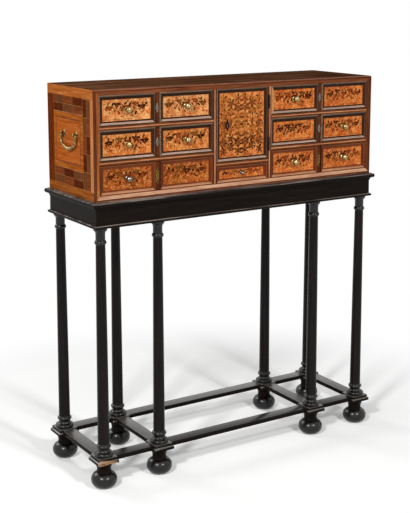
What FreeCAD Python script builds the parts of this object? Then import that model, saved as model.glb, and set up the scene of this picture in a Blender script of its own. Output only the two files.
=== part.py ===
import FreeCAD, Part
import math
import os

# A table cabinet with seven drawers and a door, standing on an ebonised stand of eight turned columns.
# Millimetres. X to the right, Y to the back, Z up; the origin is on the floor under the middle.

os.makedirs("parts", exist_ok=True)
V = FreeCAD.Vector
X_AXIS = V(1, 0, 0)
Y_AXIS = V(0, 1, 0)
Z_AXIS = V(0, 0, 1)

# Case
case_width = 1100.0
case_depth = 335.0
case_height = 347.0
board_thickness = 17.0
back_thickness = 10.0
partition_thickness = 12.0
rail_thickness = 12.0
door_opening_width = 208.0
small_drawer_height = 58.0

# Bevelled moulding on the front edges of the case
edge_depth = 10.0
edge_bevel_drop = 4.0
edge_flat_share = 0.2

# Drawer and door fronts
front_thickness = 12.0
moulding_width = 15.0
moulding_height = 8.0
moulding_shares = ((0, 0), (0, 1), (0.2, 1), (0.27, 0.8), (0.85, 0.28), (1, 0.2), (1, 0))
muntin_width = 16.0
muntin_height = 3.0
side_gap = 0.5
runner_gap = 0.3

# Drawer boxes
drawer_side_thickness = 8.0
drawer_bottom_thickness = 6.0
drawer_side_drop = 4.0
drawer_back_gap = 6.0

# Door: its closing edge has room to swing past the partition
door_thickness = 10.0
door_swing_gap = 1.6
door_keyhole_inset = 46.0

# Turned knobs
knob_reach = 25.0
knob_ball_radius = 10.5
knob_stem_radius = 3.5
knob_rose_radius = 7.5
knob_rose_thickness = 1.5
knob_shank_radius = 2.5
knob_shank_length = 9.0
knob_shank_gap = 0.1
small_knob_share = 0.6

# Keyhole plates and the lock cases behind them
plate_thickness = 1.2
iron_plate_width = 12.0
iron_plate_height = 28.0
gilt_plate_width = 15.0
gilt_plate_height = 54.0
gilt_waist_share = 0.62
door_plate_width = 18.0
door_plate_height = 42.0
door_waist_share = 0.8
keyhole_radius = 2.4
keyhole_slot_width = 2.6
keyhole_slot_length = 8.0
lock_width = 46.0
lock_height = 36.0
lock_thickness = 9.0

# Door hinges
hinge_height = 44.0
hinge_leaf_thickness = 1.2
hinge_leaf_depth = 14.0
hinge_knuckle_radius = 3.2
hinge_knuckle_gap = 0.2
hinge_pin_radius = 1.5
hinge_pin_clearance = 0.05
hinge_face_gap = 0.3
hinge_inset = 50.0
door_knuckle_share = 0.36

# Bail handles on the ends of the case
handle_height = 197.0
handle_post_spacing = 86.0
handle_stand_off = 9.0
bail_radius = 3.8
bail_clearance = 0.05
bail_overhang = 9.5
bail_drop = 47.0
bail_elbow_radius = 6.0
bail_arm_length = 12.0
bail_corner_radius = 20.0
bail_pin_end = 1.0
eye_radius = 7.0
eye_length = 6.0
post_stem_radius = 4.0
rosette_radius = 11.0
rosette_thickness = 2.0

# Stand: top board, frieze and their mouldings
stand_height = 941.0
top_thickness = 26.0
top_overhang = 14.0
cove_height_share = 0.38
nose_height_share = 0.47
nose_set_share = 0.17
cove_bow_shares = (0.75, 0.27)
frieze_height = 58.0
long_frieze_thickness = 44.0
end_frieze_thickness = 50.0
bead_height = 9.0
bead_projection = 7.0
bead_flat_share = 0.4

# Turned columns: two close together at each end, and a wide bay between the pairs
end_bay_width = 207.0
shaft_bottom_radius = 19.2
shaft_top_radius = 15.5
shaft_entasis = 0.35
base_height = 41.0
base_projection = 12.3
capital_height = 54.0
capital_projection = 6.5
spigot_radius = 9.0
spigot_length = 22.0
spigot_clearance = 0.1

# Plinth blocks, feet and stretchers
block_height = 22.0
block_width = 74.0
block_step = 4.5
block_levels_shares = (0, 0.09, 0.45, 0.6, 1)
block_inset_shares = (0.45, 0, 0, 1, 1)
foot_height = 84.0
foot_radius = 43.0
stretcher_width = 44.0
stretcher_thickness = 15.0
stretcher_drop = 1.5
stretcher_tenon = 8.0

# Places worked out from the sizes above
half_width = case_width / 2
half_depth = case_depth / 2
case_bottom = stand_height
case_top = case_bottom + case_height
inner_half_width = half_width - board_thickness
inner_bottom = case_bottom + board_thickness
inner_top = case_top - board_thickness
board_front = -half_depth + edge_depth
ridge_y = board_front - edge_depth + edge_bevel_drop
field_y = ridge_y + moulding_height
front_back_y = field_y + front_thickness
back_front_y = half_depth - back_thickness
door_half = door_opening_width / 2
partition_outer = door_half + partition_thickness
row_height = (inner_top - inner_bottom - 2 * rail_thickness) / 3
row_pitch = row_height + rail_thickness
door_bottom = inner_bottom + small_drawer_height + rail_thickness
frieze_top = stand_height - top_thickness
frieze_bottom = frieze_top - frieze_height
outer_column_x = half_width - end_frieze_thickness / 2
inner_column_x = outer_column_x - end_bay_width
column_y = half_depth - long_frieze_thickness / 2
column_places_x = (-outer_column_x, -inner_column_x, inner_column_x, outer_column_x)
block_top = foot_height + block_height


def board(x0, x1, y0, y1, z0, z1):
    """A square-edged board between two opposite corners."""
    return Part.makeBox(x1 - x0, y1 - y0, z1 - z0, V(x0, y0, z0))


def polygon(points):
    """A flat face with straight edges."""
    return Part.Face(Part.makePolygon(list(points) + [points[0]]))


def outline(start, steps):
    """A flat face whose steps are points, for straight edges, or pairs of middle and end, for arcs."""
    edges = []
    here = start
    for step in steps:
        if isinstance(step, tuple):
            edges.append(Part.Arc(here, step[0], step[1]).toShape())
            here = step[1]
        else:
            edges.append(Part.LineSegment(here, step).toShape())
            here = step
    if here != start:
        edges.append(Part.LineSegment(here, start).toShape())
    return Part.Face(Part.Wire(edges))


def turned(face, place):
    """A lathe-turned solid: a half outline in the XZ plane spun about Z and set at its place."""
    solid = face.revolve(V(0, 0, 0), Z_AXIS, 360)
    solid.translate(place)
    return solid


def mitred_frame(corner, along, across, length, breadth, profile, width, height):
    """Four mitred strips round a rectangle. The profile lies in YZ: Y inwards, Z out of the face."""
    out = along.cross(across)
    sides = (
        (corner + along * (length / 2), along, across, length),
        (corner + along * (length / 2) + across * breadth, along * -1, across * -1, length),
        (corner + across * (breadth / 2), across * -1, along, breadth),
        (corner + across * (breadth / 2) + along * length, across, along * -1, breadth),
    )
    strips = []
    for middle, run, inward, size in sides:
        bar = profile.extrude(V(size, 0, 0))
        bar.translate(V(-size / 2, 0, 0))
        plan = polygon((V(-size / 2, 0, 0), V(size / 2, 0, 0),
                        V(size / 2 - width, width, 0), V(width - size / 2, width, 0)))
        strip = bar.common(plan.extrude(V(0, 0, height))).Solids[0]
        turn = FreeCAD.Matrix(run.x, inward.x, out.x, middle.x,
                              run.y, inward.y, out.y, middle.y,
                              run.z, inward.z, out.z, middle.z,
                              0, 0, 0, 1)
        strip.Placement = FreeCAD.Placement(turn)
        strips.append(strip)
    return strips


def shares_face(shares, width, height):
    """A moulding's section from shares of its width and height."""
    return polygon([V(0, width * across, height * up) for across, up in shares])


def save(name, solids):
    Part.makeCompound(solids).exportStep("parts/" + name + ".step")


# The four case boards meet in mitres, so each outer face is one unbroken surface
def case_boards():
    corners_outer = ((-half_width, case_bottom), (half_width, case_bottom),
                     (half_width, case_top), (-half_width, case_top))
    corners_inner = ((-inner_half_width, inner_bottom), (inner_half_width, inner_bottom),
                     (inner_half_width, inner_top), (-inner_half_width, inner_top))
    names = ("case_bottom", "case_right_side", "case_top", "case_left_side")
    for index, name in enumerate(names):
        after = (index + 1) % len(names)
        ring = (corners_outer[index], corners_outer[after], corners_inner[after], corners_inner[index])
        face = polygon([V(x, board_front, z) for x, z in ring])
        save(name, [face.extrude(V(0, half_depth - board_front, 0))])


def case_inside():
    save("case_back", [board(-inner_half_width, inner_half_width, back_front_y, half_depth,
                             inner_bottom, inner_top)])
    left = board(-partition_outer, -door_half, ridge_y, back_front_y, inner_bottom, inner_top)
    right = board(door_half, partition_outer, ridge_y, back_front_y, inner_bottom, inner_top)
    for hinge_z in hinge_places():
        right = right.cut(hinge_recess(door_half, door_half + hinge_leaf_thickness, hinge_z))
    save("partition_left", [left])
    save("partition_right", [right])
    levels = [inner_bottom + row_height + row * row_pitch for row in range(2)]
    save("dust_boards_left", [board(-inner_half_width, -partition_outer, ridge_y, back_front_y,
                                    z, z + rail_thickness) for z in levels])
    save("dust_boards_right", [board(partition_outer, inner_half_width, ridge_y, back_front_y,
                                     z, z + rail_thickness) for z in levels])
    save("door_rail", [board(-door_half, door_half, ridge_y, back_front_y,
                             door_bottom - rail_thickness, door_bottom)])


def front_edge_moulding():
    shares = ((0, 0), (0, 1), (edge_flat_share, 1), (1, 1 - edge_bevel_drop / edge_depth), (1, 0))
    profile = shares_face(shares, board_thickness, edge_depth)
    save("front_edge_moulding", mitred_frame(V(-half_width, board_front, case_bottom), X_AXIS, Z_AXIS,
                                             case_width, case_height, profile, board_thickness, edge_depth))


def front_frame(x0, x1, z0, z1):
    """Four moulding strips round one panel of a drawer front or of the door."""
    profile = shares_face(moulding_shares, moulding_width, moulding_height)
    return mitred_frame(V(x0, field_y, z0), X_AXIS, Z_AXIS, x1 - x0, z1 - z0,
                        profile, moulding_width, moulding_height)


def knob(x, z, size):
    """A ball knob on a stem and rose, with its shank in the front board."""
    ball = knob_ball_radius * size
    stem = knob_stem_radius * size
    shank = knob_shank_radius * size
    middle = (knob_reach - knob_ball_radius) * size
    neck = middle - math.sqrt(ball * ball - stem * stem)
    rose = knob_rose_thickness * size
    face = outline(V(0, 0, -knob_shank_length), (
        V(shank, 0, -knob_shank_length),
        V(shank, 0, 0),
        V(knob_rose_radius * size, 0, 0),
        V(knob_rose_radius * size, 0, rose),
        V(stem, 0, rose),
        V(stem, 0, neck),
        (V(ball, 0, middle), V(0, 0, middle + ball)),
    ))
    solid = turned(face, V(0, 0, 0))
    solid.rotate(V(0, 0, 0), X_AXIS, 90)
    solid.translate(V(x, field_y, z))
    return solid


def knob_hole(x, z, size):
    radius = knob_shank_radius * size + knob_shank_gap
    depth = knob_shank_length + knob_shank_gap
    return Part.makeCylinder(radius, depth, V(x, field_y, z), Y_AXIS)


def keyhole(x, z, face_y):
    """A round hole with a slot under it, right through a plate that stands on face_y."""
    round_hole = Part.makeCylinder(keyhole_radius, plate_thickness, V(x, face_y - plate_thickness, z), Y_AXIS)
    slot = board(x - keyhole_slot_width / 2, x + keyhole_slot_width / 2, face_y - plate_thickness, face_y,
                 z - keyhole_slot_length, z)
    return round_hole.fuse(slot)


def keyhole_plate(x, z, face_y, width, height, waist_share):
    """A plate with rounded ends, drawn in to a waist above and below its keyhole."""
    side = width / 2
    waist = side * waist_share
    end = height / 2
    shoulder = end - side
    face = outline(V(x - side, face_y, z - shoulder), (
        (V(x, face_y, z - end), V(x + side, face_y, z - shoulder)),
        (V(x + waist, face_y, z - shoulder / 2), V(x + side, face_y, z)),
        (V(x + waist, face_y, z + shoulder / 2), V(x + side, face_y, z + shoulder)),
        (V(x, face_y, z + end), V(x - side, face_y, z + shoulder)),
        (V(x - waist, face_y, z + shoulder / 2), V(x - side, face_y, z)),
        (V(x - waist, face_y, z - shoulder / 2), V(x - side, face_y, z - shoulder)),
    ))
    plate = face.extrude(V(0, -plate_thickness, 0))
    return plate.cut(keyhole(x, z + keyhole_slot_length / 2, face_y))


def iron_plate(x, z, face_y):
    plate = board(x - iron_plate_width / 2, x + iron_plate_width / 2, face_y - plate_thickness, face_y,
                  z - iron_plate_height / 2, z + iron_plate_height / 2)
    return plate.cut(keyhole(x, z + keyhole_slot_length / 2, face_y))


def lock_case(x, z, face_y):
    """The closed lock on the inner face of a front; its bolt is drawn back inside."""
    return board(x - lock_width / 2, x + lock_width / 2, face_y, face_y + lock_thickness,
                 z - lock_height / 2, z + lock_height / 2)


def drawer_box(x0, x1, z0, z1):
    """Two sides, a back and a bottom, behind the front board."""
    back_end = back_front_y - drawer_back_gap
    inner_x0 = x0 + drawer_side_thickness
    inner_x1 = x1 - drawer_side_thickness
    floor_z = z0 + drawer_bottom_thickness
    rim_z = z1 - drawer_side_drop
    return [
        board(x0, inner_x0, front_back_y, back_end, z0, rim_z),
        board(inner_x1, x1, front_back_y, back_end, z0, rim_z),
        board(inner_x0, inner_x1, front_back_y, back_end, z0, floor_z),
        board(inner_x0, inner_x1, back_end - drawer_side_thickness, back_end, floor_z, rim_z),
    ]


def wide_drawer(name, left_x, row, knob_panels, gilt):
    """One drawer whose front is divided into two framed panels by a muntin with the keyhole."""
    x0 = left_x + side_gap
    x1 = left_x + inner_half_width - partition_outer - side_gap
    z0 = inner_bottom + row * row_pitch + runner_gap
    z1 = inner_bottom + row * row_pitch + row_height - side_gap
    middle_x = (x0 + x1) / 2
    middle_z = (z0 + z1) / 2
    muntin_x0 = middle_x - muntin_width / 2
    muntin_x1 = middle_x + muntin_width / 2
    panels = ((x0, muntin_x0), (muntin_x1, x1))
    front = board(x0, x1, field_y, front_back_y, z0, z1)
    muntin_y = field_y - muntin_height
    strips = [board(muntin_x0, muntin_x1, muntin_y, field_y, z0, z1)]
    fittings = []
    for index, (panel_x0, panel_x1) in enumerate(panels):
        panel_x = (panel_x0 + panel_x1) / 2
        strips += front_frame(panel_x0, panel_x1, z0, z1)
        front = front.cut(knob_hole(panel_x, middle_z, 1))
        if index in knob_panels:
            fittings.append(knob(panel_x, middle_z, 1))
    if gilt:
        plate = keyhole_plate(middle_x, middle_z, muntin_y, gilt_plate_width, gilt_plate_height,
                              gilt_waist_share)
    else:
        plate = iron_plate(middle_x, middle_z, muntin_y)
    fittings.append(plate)
    fittings.append(lock_case(middle_x, middle_z, front_back_y))
    save(name + "_front", [front] + strips)
    save(name + "_box", drawer_box(x0, x1, z0, z1))
    save(name + "_fittings", fittings)


def small_drawer():
    """The shallow drawer under the door, with one panel and a small knob."""
    x0 = -door_half + side_gap
    x1 = door_half - side_gap
    z0 = inner_bottom + runner_gap
    z1 = inner_bottom + small_drawer_height - side_gap
    middle_z = (z0 + z1) / 2
    front = board(x0, x1, field_y, front_back_y, z0, z1)
    front = front.cut(knob_hole(0, middle_z, small_knob_share))
    save("small_drawer_front", [front] + front_frame(x0, x1, z0, z1))
    save("small_drawer_box", drawer_box(x0, x1, z0, z1))
    save("small_drawer_fittings", [knob(0, middle_z, small_knob_share)])


# The door hangs on two butt hinges whose knuckles stand in front of its right-hand edge
hinge_axis_x = door_half
hinge_axis_y = ridge_y - hinge_face_gap - hinge_knuckle_radius
door_x0 = -door_half + door_swing_gap
door_x1 = door_half - side_gap
door_z0 = door_bottom + side_gap
door_z1 = inner_top - side_gap
door_back_y = field_y + door_thickness


def hinge_places():
    return (door_z0 + hinge_inset, door_z1 - hinge_inset)


def hinge_recess(x0, x1, middle_z):
    """The housing of one hinge leaf, from the ridge of the moulding back."""
    return board(x0, x1, ridge_y, ridge_y + hinge_leaf_depth,
                 middle_z - hinge_height / 2, middle_z + hinge_height / 2)


def knuckle(z0, z1):
    return Part.makeCylinder(hinge_knuckle_radius, z1 - z0, V(hinge_axis_x, hinge_axis_y, z0))


def door_leaf(middle_z):
    """The leaf on the door's edge and the middle knuckle, bored for the pin."""
    half = hinge_height * door_knuckle_share / 2 - hinge_knuckle_gap
    x0 = door_x1 - hinge_leaf_thickness
    leaf = hinge_recess(x0, door_x1, middle_z)
    tab = board(x0, door_x1, hinge_axis_y, ridge_y, middle_z - half, middle_z + half)
    solid = leaf.fuse([tab, knuckle(middle_z - half, middle_z + half)])
    bore = Part.makeCylinder(hinge_pin_radius + hinge_pin_clearance, hinge_height,
                             V(hinge_axis_x, hinge_axis_y, middle_z - hinge_height / 2))
    return solid.cut(bore).removeSplitter()


def case_leaf(middle_z):
    """The leaf on the partition, its two end knuckles and the pin that they hold."""
    inner = hinge_height * door_knuckle_share / 2
    outer = hinge_height / 2
    x1 = door_half + hinge_leaf_thickness
    pieces = [Part.makeCylinder(hinge_pin_radius, hinge_height,
                                V(hinge_axis_x, hinge_axis_y, middle_z - outer))]
    for z0, z1 in ((middle_z - outer, middle_z - inner), (middle_z + inner, middle_z + outer)):
        pieces.append(knuckle(z0, z1))
        pieces.append(board(door_half, x1, hinge_axis_y, ridge_y, z0, z1))
    return hinge_recess(door_half, x1, middle_z).fuse(pieces).removeSplitter()


def door():
    panel = board(door_x0, door_x1, field_y, door_back_y, door_z0, door_z1)
    strips = front_frame(door_x0, door_x1, door_z0, door_z1)
    for hinge_z in hinge_places():
        recess = hinge_recess(door_x1 - hinge_leaf_thickness, door_x1, hinge_z)
        panel = panel.cut(recess)
        strips[-1] = strips[-1].cut(recess)
    keyhole_x = door_x0 + door_keyhole_inset
    middle_z = (door_z0 + door_z1) / 2
    save("door_panel", [panel])
    save("door_moulding", strips)
    save("door_lock", [
        keyhole_plate(keyhole_x, middle_z, field_y, door_plate_width, door_plate_height,
                      door_waist_share),
        lock_case(keyhole_x, middle_z, door_back_y),
    ])
    save("door_hinge_leaves", [door_leaf(z) for z in hinge_places()])
    save("case_hinge_leaves", [case_leaf(z) for z in hinge_places()])


def bail(side):
    """A drop handle bent from one bar: a pin in each eye, a short arm and a curved grip."""
    pin_y = handle_post_spacing / 2 - eye_length / 2 - bail_pin_end
    arm_y = handle_post_spacing / 2 + bail_overhang
    elbow_y = arm_y - bail_elbow_radius
    arm_z = -bail_elbow_radius - bail_arm_length
    # The grip is a tight arc and a wide arc that meet smoothly
    run = arm_y - bail_corner_radius
    fall = bail_drop + arm_z - bail_corner_radius
    turn = math.pi / 2 - 2 * math.atan(fall / run)
    wide = run / math.cos(turn)
    grip_radius = wide + bail_corner_radius
    grip_centre_z = grip_radius - bail_drop
    join_y = run + bail_corner_radius * math.cos(turn)
    join_z = arm_z - bail_corner_radius * math.sin(turn)
    half_turn = turn / 2
    corner_mid = V(0, run + bail_corner_radius * math.cos(half_turn),
                   arm_z - bail_corner_radius * math.sin(half_turn))
    bend = bail_elbow_radius * math.sqrt(0.5)
    elbow_mid = V(0, elbow_y + bend, bend - bail_elbow_radius)

    def mirrored(point):
        return V(point.x, -point.y, point.z)

    start = V(0, pin_y, 0)
    elbow_start = V(0, elbow_y, 0)
    elbow_end = V(0, arm_y, -bail_elbow_radius)
    arm_end = V(0, arm_y, arm_z)
    join = V(0, join_y, join_z)
    bottom = V(0, 0, grip_centre_z - grip_radius)
    path = Part.Wire([
        Part.LineSegment(start, elbow_start).toShape(),
        Part.Arc(elbow_start, elbow_mid, elbow_end).toShape(),
        Part.LineSegment(elbow_end, arm_end).toShape(),
        Part.Arc(arm_end, corner_mid, join).toShape(),
        Part.Arc(join, bottom, mirrored(join)).toShape(),
        Part.Arc(mirrored(join), mirrored(corner_mid), mirrored(arm_end)).toShape(),
        Part.LineSegment(mirrored(arm_end), mirrored(elbow_end)).toShape(),
        Part.Arc(mirrored(elbow_end), mirrored(elbow_mid), mirrored(elbow_start)).toShape(),
        Part.LineSegment(mirrored(elbow_start), mirrored(start)).toShape(),
    ])
    section = Part.Wire(Part.Circle(start, Y_AXIS, bail_radius).toShape())
    solid = path.makePipeShell([section], True, False)
    solid.translate(V(side * (half_width + handle_stand_off), 0, case_bottom + handle_height))
    return solid


def handle_post(side, y):
    """A rosette, a stem and an eye for one end of the bail."""
    face_x = side * half_width
    z = case_bottom + handle_height
    outward = X_AXIS * side
    eye_x = face_x + side * handle_stand_off
    rosette = Part.makeCylinder(rosette_radius, rosette_thickness, V(face_x, y, z), outward)
    stem = Part.makeCylinder(post_stem_radius, handle_stand_off, V(face_x, y, z), outward)
    eye = Part.makeCylinder(eye_radius, eye_length, V(eye_x, y - eye_length / 2, z), Y_AXIS)
    bore = Part.makeCylinder(bail_radius + bail_clearance, 2 * rosette_radius,
                             V(eye_x, y - rosette_radius, z), Y_AXIS)
    return rosette.fuse([stem, eye]).cut(bore).removeSplitter()


def handles():
    for name, side in (("left", -1), ("right", 1)):
        save(name + "_bail", [bail(side)])
        save(name + "_handle_posts", [handle_post(side, end * handle_post_spacing / 2) for end in (-1, 1)])


def stand_top():
    save("stand_top", [board(-half_width, half_width, -half_depth, half_depth, frieze_top, stand_height)])


def stand_mouldings():
    """The moulding round the top board, a cove under a nose, and the bead along the foot of the frieze."""
    cove = top_thickness * cove_height_share
    nose = cove + top_thickness * nose_height_share
    lip = top_overhang * nose_set_share
    nose_round = lip / 3
    bow_across, bow_up = cove_bow_shares
    top_profile = outline(V(0, top_overhang, 0), (
        (V(0, top_overhang * bow_across, top_thickness * bow_up), V(0, lip, cove)),
        V(0, nose_round, cove),
        (V(0, 0, (cove + nose) / 2), V(0, nose_round, nose)),
        V(0, top_overhang, top_thickness),
    ))
    flat = bead_projection * bead_flat_share
    bead_profile = outline(V(0, bead_projection, 0), (
        V(0, bead_projection - flat, 0),
        (V(0, 0, bead_height / 2), V(0, bead_projection - flat, bead_height)),
        V(0, bead_projection, bead_height),
    ))
    top_corner = V(-half_width - top_overhang, -half_depth - top_overhang, frieze_top)
    bead_corner = V(-half_width - bead_projection, -half_depth - bead_projection, frieze_bottom)
    strips = mitred_frame(top_corner, X_AXIS, Y_AXIS, case_width + 2 * top_overhang,
                          case_depth + 2 * top_overhang, top_profile, top_overhang, top_thickness)
    strips += mitred_frame(bead_corner, X_AXIS, Y_AXIS, case_width + 2 * bead_projection,
                           case_depth + 2 * bead_projection, bead_profile, bead_projection, bead_height)
    save("stand_mouldings", strips)


def frieze():
    """Thick rails under the top board; the long ones are bored for the spigots of the columns."""
    inner_y = half_depth - long_frieze_thickness
    inner_x = half_width - end_frieze_thickness
    for name, side in (("frieze_front", -1), ("frieze_back", 1)):
        middle = side * column_y
        rail = board(-half_width, half_width, middle - long_frieze_thickness / 2,
                     middle + long_frieze_thickness / 2, frieze_bottom, frieze_top)
        for x in column_places_x:
            rail = rail.cut(Part.makeCylinder(spigot_radius + spigot_clearance, spigot_length + spigot_clearance,
                                              V(x, middle, frieze_bottom)))
        save(name, [rail])
    save("frieze_left", [board(-half_width, -inner_x, -inner_y, inner_y, frieze_bottom, frieze_top)])
    save("frieze_right", [board(inner_x, half_width, -inner_y, inner_y, frieze_bottom, frieze_top)])


def column_outline():
    """Half the outline of a column, from its lower spigot up through base, shaft and capital."""

    def base(out_share, up_share):
        return V(shaft_bottom_radius + base_projection * out_share, 0, block_top + base_height * up_share)

    def capital(out_share, down_share):
        return V(shaft_top_radius + capital_projection * out_share, 0, frieze_bottom - capital_height * down_share)

    shaft_foot = base(0, 1)
    shaft_head = capital(0, 1)
    shaft_middle = (shaft_foot + shaft_head) * 0.5 + V(shaft_entasis, 0, 0)
    lower_end = foot_height - spigot_length
    return outline(V(0, 0, lower_end), (
        V(spigot_radius, 0, lower_end),
        V(spigot_radius, 0, block_top),
        base(0.85, 0),
        base(0.85, 0.06),
        (base(1, 0.17), base(0.8, 0.28)),
        base(0.45, 0.3),
        base(0.45, 0.35),
        (base(0.02, 0.5), base(0.12, 0.64)),
        base(0.2, 0.66),
        (base(0.4, 0.79), base(0.2, 0.92)),
        base(0.08, 0.94),
        shaft_foot,
        (shaft_middle, shaft_head),
        capital(0.2, 0.98),
        (capital(0.6, 0.87), capital(0.2, 0.76)),
        capital(0, 0.74),
        capital(0, 0.36),
        (capital(0.35, 0.22), capital(0.9, 0.15)),
        capital(1, 0.15),
        capital(1, 0),
        V(spigot_radius, 0, frieze_bottom),
        V(spigot_radius, 0, frieze_bottom + spigot_length),
        V(0, 0, frieze_bottom + spigot_length),
    ))


def columns():
    face = column_outline()
    for row_name, y in (("front", -column_y), ("back", column_y)):
        for index, x in enumerate(column_places_x):
            save("column_%s_%d" % (row_name, index + 1), [turned(face, V(x, y, 0))])


def plinth_block(x, y):
    """A square stepped block, bored for the column's lower spigot."""
    rings = []
    for level, inset in zip(block_levels_shares, block_inset_shares):
        half = block_width / 2 - block_step * inset
        z = foot_height + block_height * level
        ring = [V(x + side_x * half, y + side_y * half, z)
                for side_x, side_y in ((-1, -1), (1, -1), (1, 1), (-1, 1))]
        rings.append(Part.makePolygon(ring + [ring[0]]))
    block = Part.makeLoft(rings, True, True)
    return block.cut(Part.makeCylinder(spigot_radius + spigot_clearance, block_height, V(x, y, foot_height)))


def bun_foot(x, y):
    """A turned bun with a flared neck, bored for the column's lower spigot."""
    socket = spigot_radius + spigot_clearance
    socket_end = foot_height - spigot_length - spigot_clearance

    def foot(out_share, up_share):
        return V(foot_radius * out_share, 0, foot_height * up_share)

    face = outline(V(0, 0, 0), (
        foot(0.58, 0),
        (foot(1, 0.31), foot(0.58, 0.62)),
        foot(0.54, 0.66),
        foot(0.66, 0.93),
        foot(0.68, 1),
        V(socket, 0, foot_height),
        V(socket, 0, socket_end),
        V(0, 0, socket_end),
    ))
    return turned(face, V(x, y, 0))


def stretcher(x0, x1, y0, y1, blocks):
    """A flat rail let in between plinth blocks and scribed to their faces."""
    top = block_top - stretcher_drop
    rail = board(x0, x1, y0, y1, top - stretcher_thickness, top)
    return rail.cut(blocks)


def stand_base():
    places = [(x, y) for y in (-column_y, column_y) for x in column_places_x]
    blocks = [plinth_block(x, y) for x, y in places]
    save("plinth_blocks", blocks)
    save("bun_feet", [bun_foot(x, y) for x, y in places])
    reach = block_width / 2 - block_step - stretcher_tenon
    half = stretcher_width / 2
    for name, y in (("stretcher_front", -column_y), ("stretcher_back", column_y)):
        spans = zip(column_places_x, column_places_x[1:])
        save(name, [stretcher(x0 + reach, x1 - reach, y - half, y + half, blocks) for x0, x1 in spans])
    save("cross_stretchers", [stretcher(x - half, x + half, reach - column_y, column_y - reach, blocks)
                              for x in column_places_x])


case_boards()
case_inside()
front_edge_moulding()
row_names = ("bottom", "middle", "top")
left_knobs = ((0,), (0, 1), (0, 1))
right_knobs = ((0, 1), (1,), (0,))
for row, row_name in enumerate(row_names):
    wide_drawer("left_%s_drawer" % row_name, -inner_half_width, row, left_knobs[row], row == 0)
    wide_drawer("right_%s_drawer" % row_name, partition_outer, row, right_knobs[row], row == 0)
small_drawer()
door()
handles()
stand_top()
stand_mouldings()
frieze()
columns()
stand_base()
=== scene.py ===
# %% [markdown]
# A marquetry cabinet on an ebonised stand
#
# The object is a table cabinet with seven drawers and a small door, standing on eight turned columns. The
# solid frame is already made at its real size. This lesson dresses it: each step models one kind of piece
# with the tools a person uses by hand (a primitive, then extrude, inset, spin and bevel) and gives it its
# own finish.

# %% Load the frame
import math
import random

import bmesh
import bpy
from mathutils import Matrix, Vector


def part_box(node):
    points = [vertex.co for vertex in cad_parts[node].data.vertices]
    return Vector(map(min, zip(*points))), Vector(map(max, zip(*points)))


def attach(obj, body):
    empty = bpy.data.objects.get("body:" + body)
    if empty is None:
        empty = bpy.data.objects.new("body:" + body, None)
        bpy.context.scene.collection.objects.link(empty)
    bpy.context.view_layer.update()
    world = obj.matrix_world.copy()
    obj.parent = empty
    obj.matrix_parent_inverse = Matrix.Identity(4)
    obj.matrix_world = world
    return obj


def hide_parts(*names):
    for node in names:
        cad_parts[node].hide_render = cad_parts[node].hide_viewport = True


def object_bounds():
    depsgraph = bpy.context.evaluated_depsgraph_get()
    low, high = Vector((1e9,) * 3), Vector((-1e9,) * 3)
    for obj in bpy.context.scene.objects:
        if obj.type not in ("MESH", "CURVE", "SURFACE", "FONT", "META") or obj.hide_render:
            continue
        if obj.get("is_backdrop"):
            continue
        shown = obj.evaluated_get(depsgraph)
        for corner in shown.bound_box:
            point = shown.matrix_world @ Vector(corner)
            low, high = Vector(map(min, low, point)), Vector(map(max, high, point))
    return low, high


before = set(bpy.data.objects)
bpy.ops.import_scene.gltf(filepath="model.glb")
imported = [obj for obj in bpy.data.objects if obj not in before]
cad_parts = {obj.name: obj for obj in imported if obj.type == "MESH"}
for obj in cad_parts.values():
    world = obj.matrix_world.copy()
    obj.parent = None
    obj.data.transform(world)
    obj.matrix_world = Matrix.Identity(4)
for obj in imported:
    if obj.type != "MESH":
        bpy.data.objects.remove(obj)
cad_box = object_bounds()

MM = 0.001  # sizes in capitals are millimetres unless a comment says so; the frame's own are metres

# %% [markdown]
# Tools of the bench
#
# Blender's operators act on whatever is selected. The selection could be set by hand before each call, but
# small helpers are safer: each one clears the bench first and then selects only what it works on. Faces and
# edges are picked by where they lie, as a person would click on them.


# %% Start a piece
def bench(*pieces):
    """Object mode, with these pieces alone selected and the first one active."""
    if bpy.context.object and bpy.context.object.mode != "OBJECT":
        bpy.ops.object.mode_set(mode="OBJECT")
    bpy.ops.object.select_all(action="DESELECT")
    for piece in pieces:
        piece.select_set(True)
    bpy.context.view_layer.objects.active = pieces[0] if pieces else None


def start(name, operator, **settings):
    """A primitive at its size and place, with that place in its mesh."""
    bench()
    operator(**settings)
    piece = bpy.context.object
    piece.name = piece.data.name = name
    bpy.ops.object.transform_apply(location=True, rotation=True, scale=True)
    return piece


def block(name, low, high):
    """A board between two opposite corners, in metres."""
    low, high = Vector(low), Vector(high)
    return start(name, bpy.ops.mesh.primitive_cube_add, size=1, location=(low + high) / 2, scale=high - low)


# %% Select and shape
FACING = 0.9  # a normal this far along an axis counts as facing that way
TOUCH = 0.1  # places this close count as one
EASE_ANGLE = 28  # degrees; only edges sharper than this are rounded


def edit(piece, mode="FACE"):
    """Edit mode, with all of one piece selected."""
    bench(piece)
    bpy.ops.object.mode_set(mode="EDIT")
    bpy.ops.mesh.select_mode(type=mode)
    bpy.ops.mesh.select_all(action="SELECT")


def done():
    """Back to object mode."""
    bpy.ops.object.mode_set(mode="OBJECT")


def pick(piece, test, mode="FACE"):
    """In edit mode, selects the faces, edges or points that pass a test of their middle and direction."""
    bpy.ops.mesh.select_mode(type=mode)
    bpy.ops.mesh.select_all(action="DESELECT")
    mesh = bmesh.from_edit_mesh(piece.data)
    mesh.normal_update()
    if mode == "FACE":
        found = [face for face in mesh.faces if test(face.calc_center_median(), face.normal)]
    elif mode == "EDGE":
        ends = [(edge, edge.verts[0].co, edge.verts[1].co) for edge in mesh.edges]
        found = [edge for edge, a, b in ends if test((a + b) / 2, b - a)]
    else:
        found = [point for point in mesh.verts if test(point.co, point.normal)]
    for part in found:
        part.select_set(True)
    mesh.select_flush_mode()
    bmesh.update_edit_mesh(piece.data)


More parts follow.
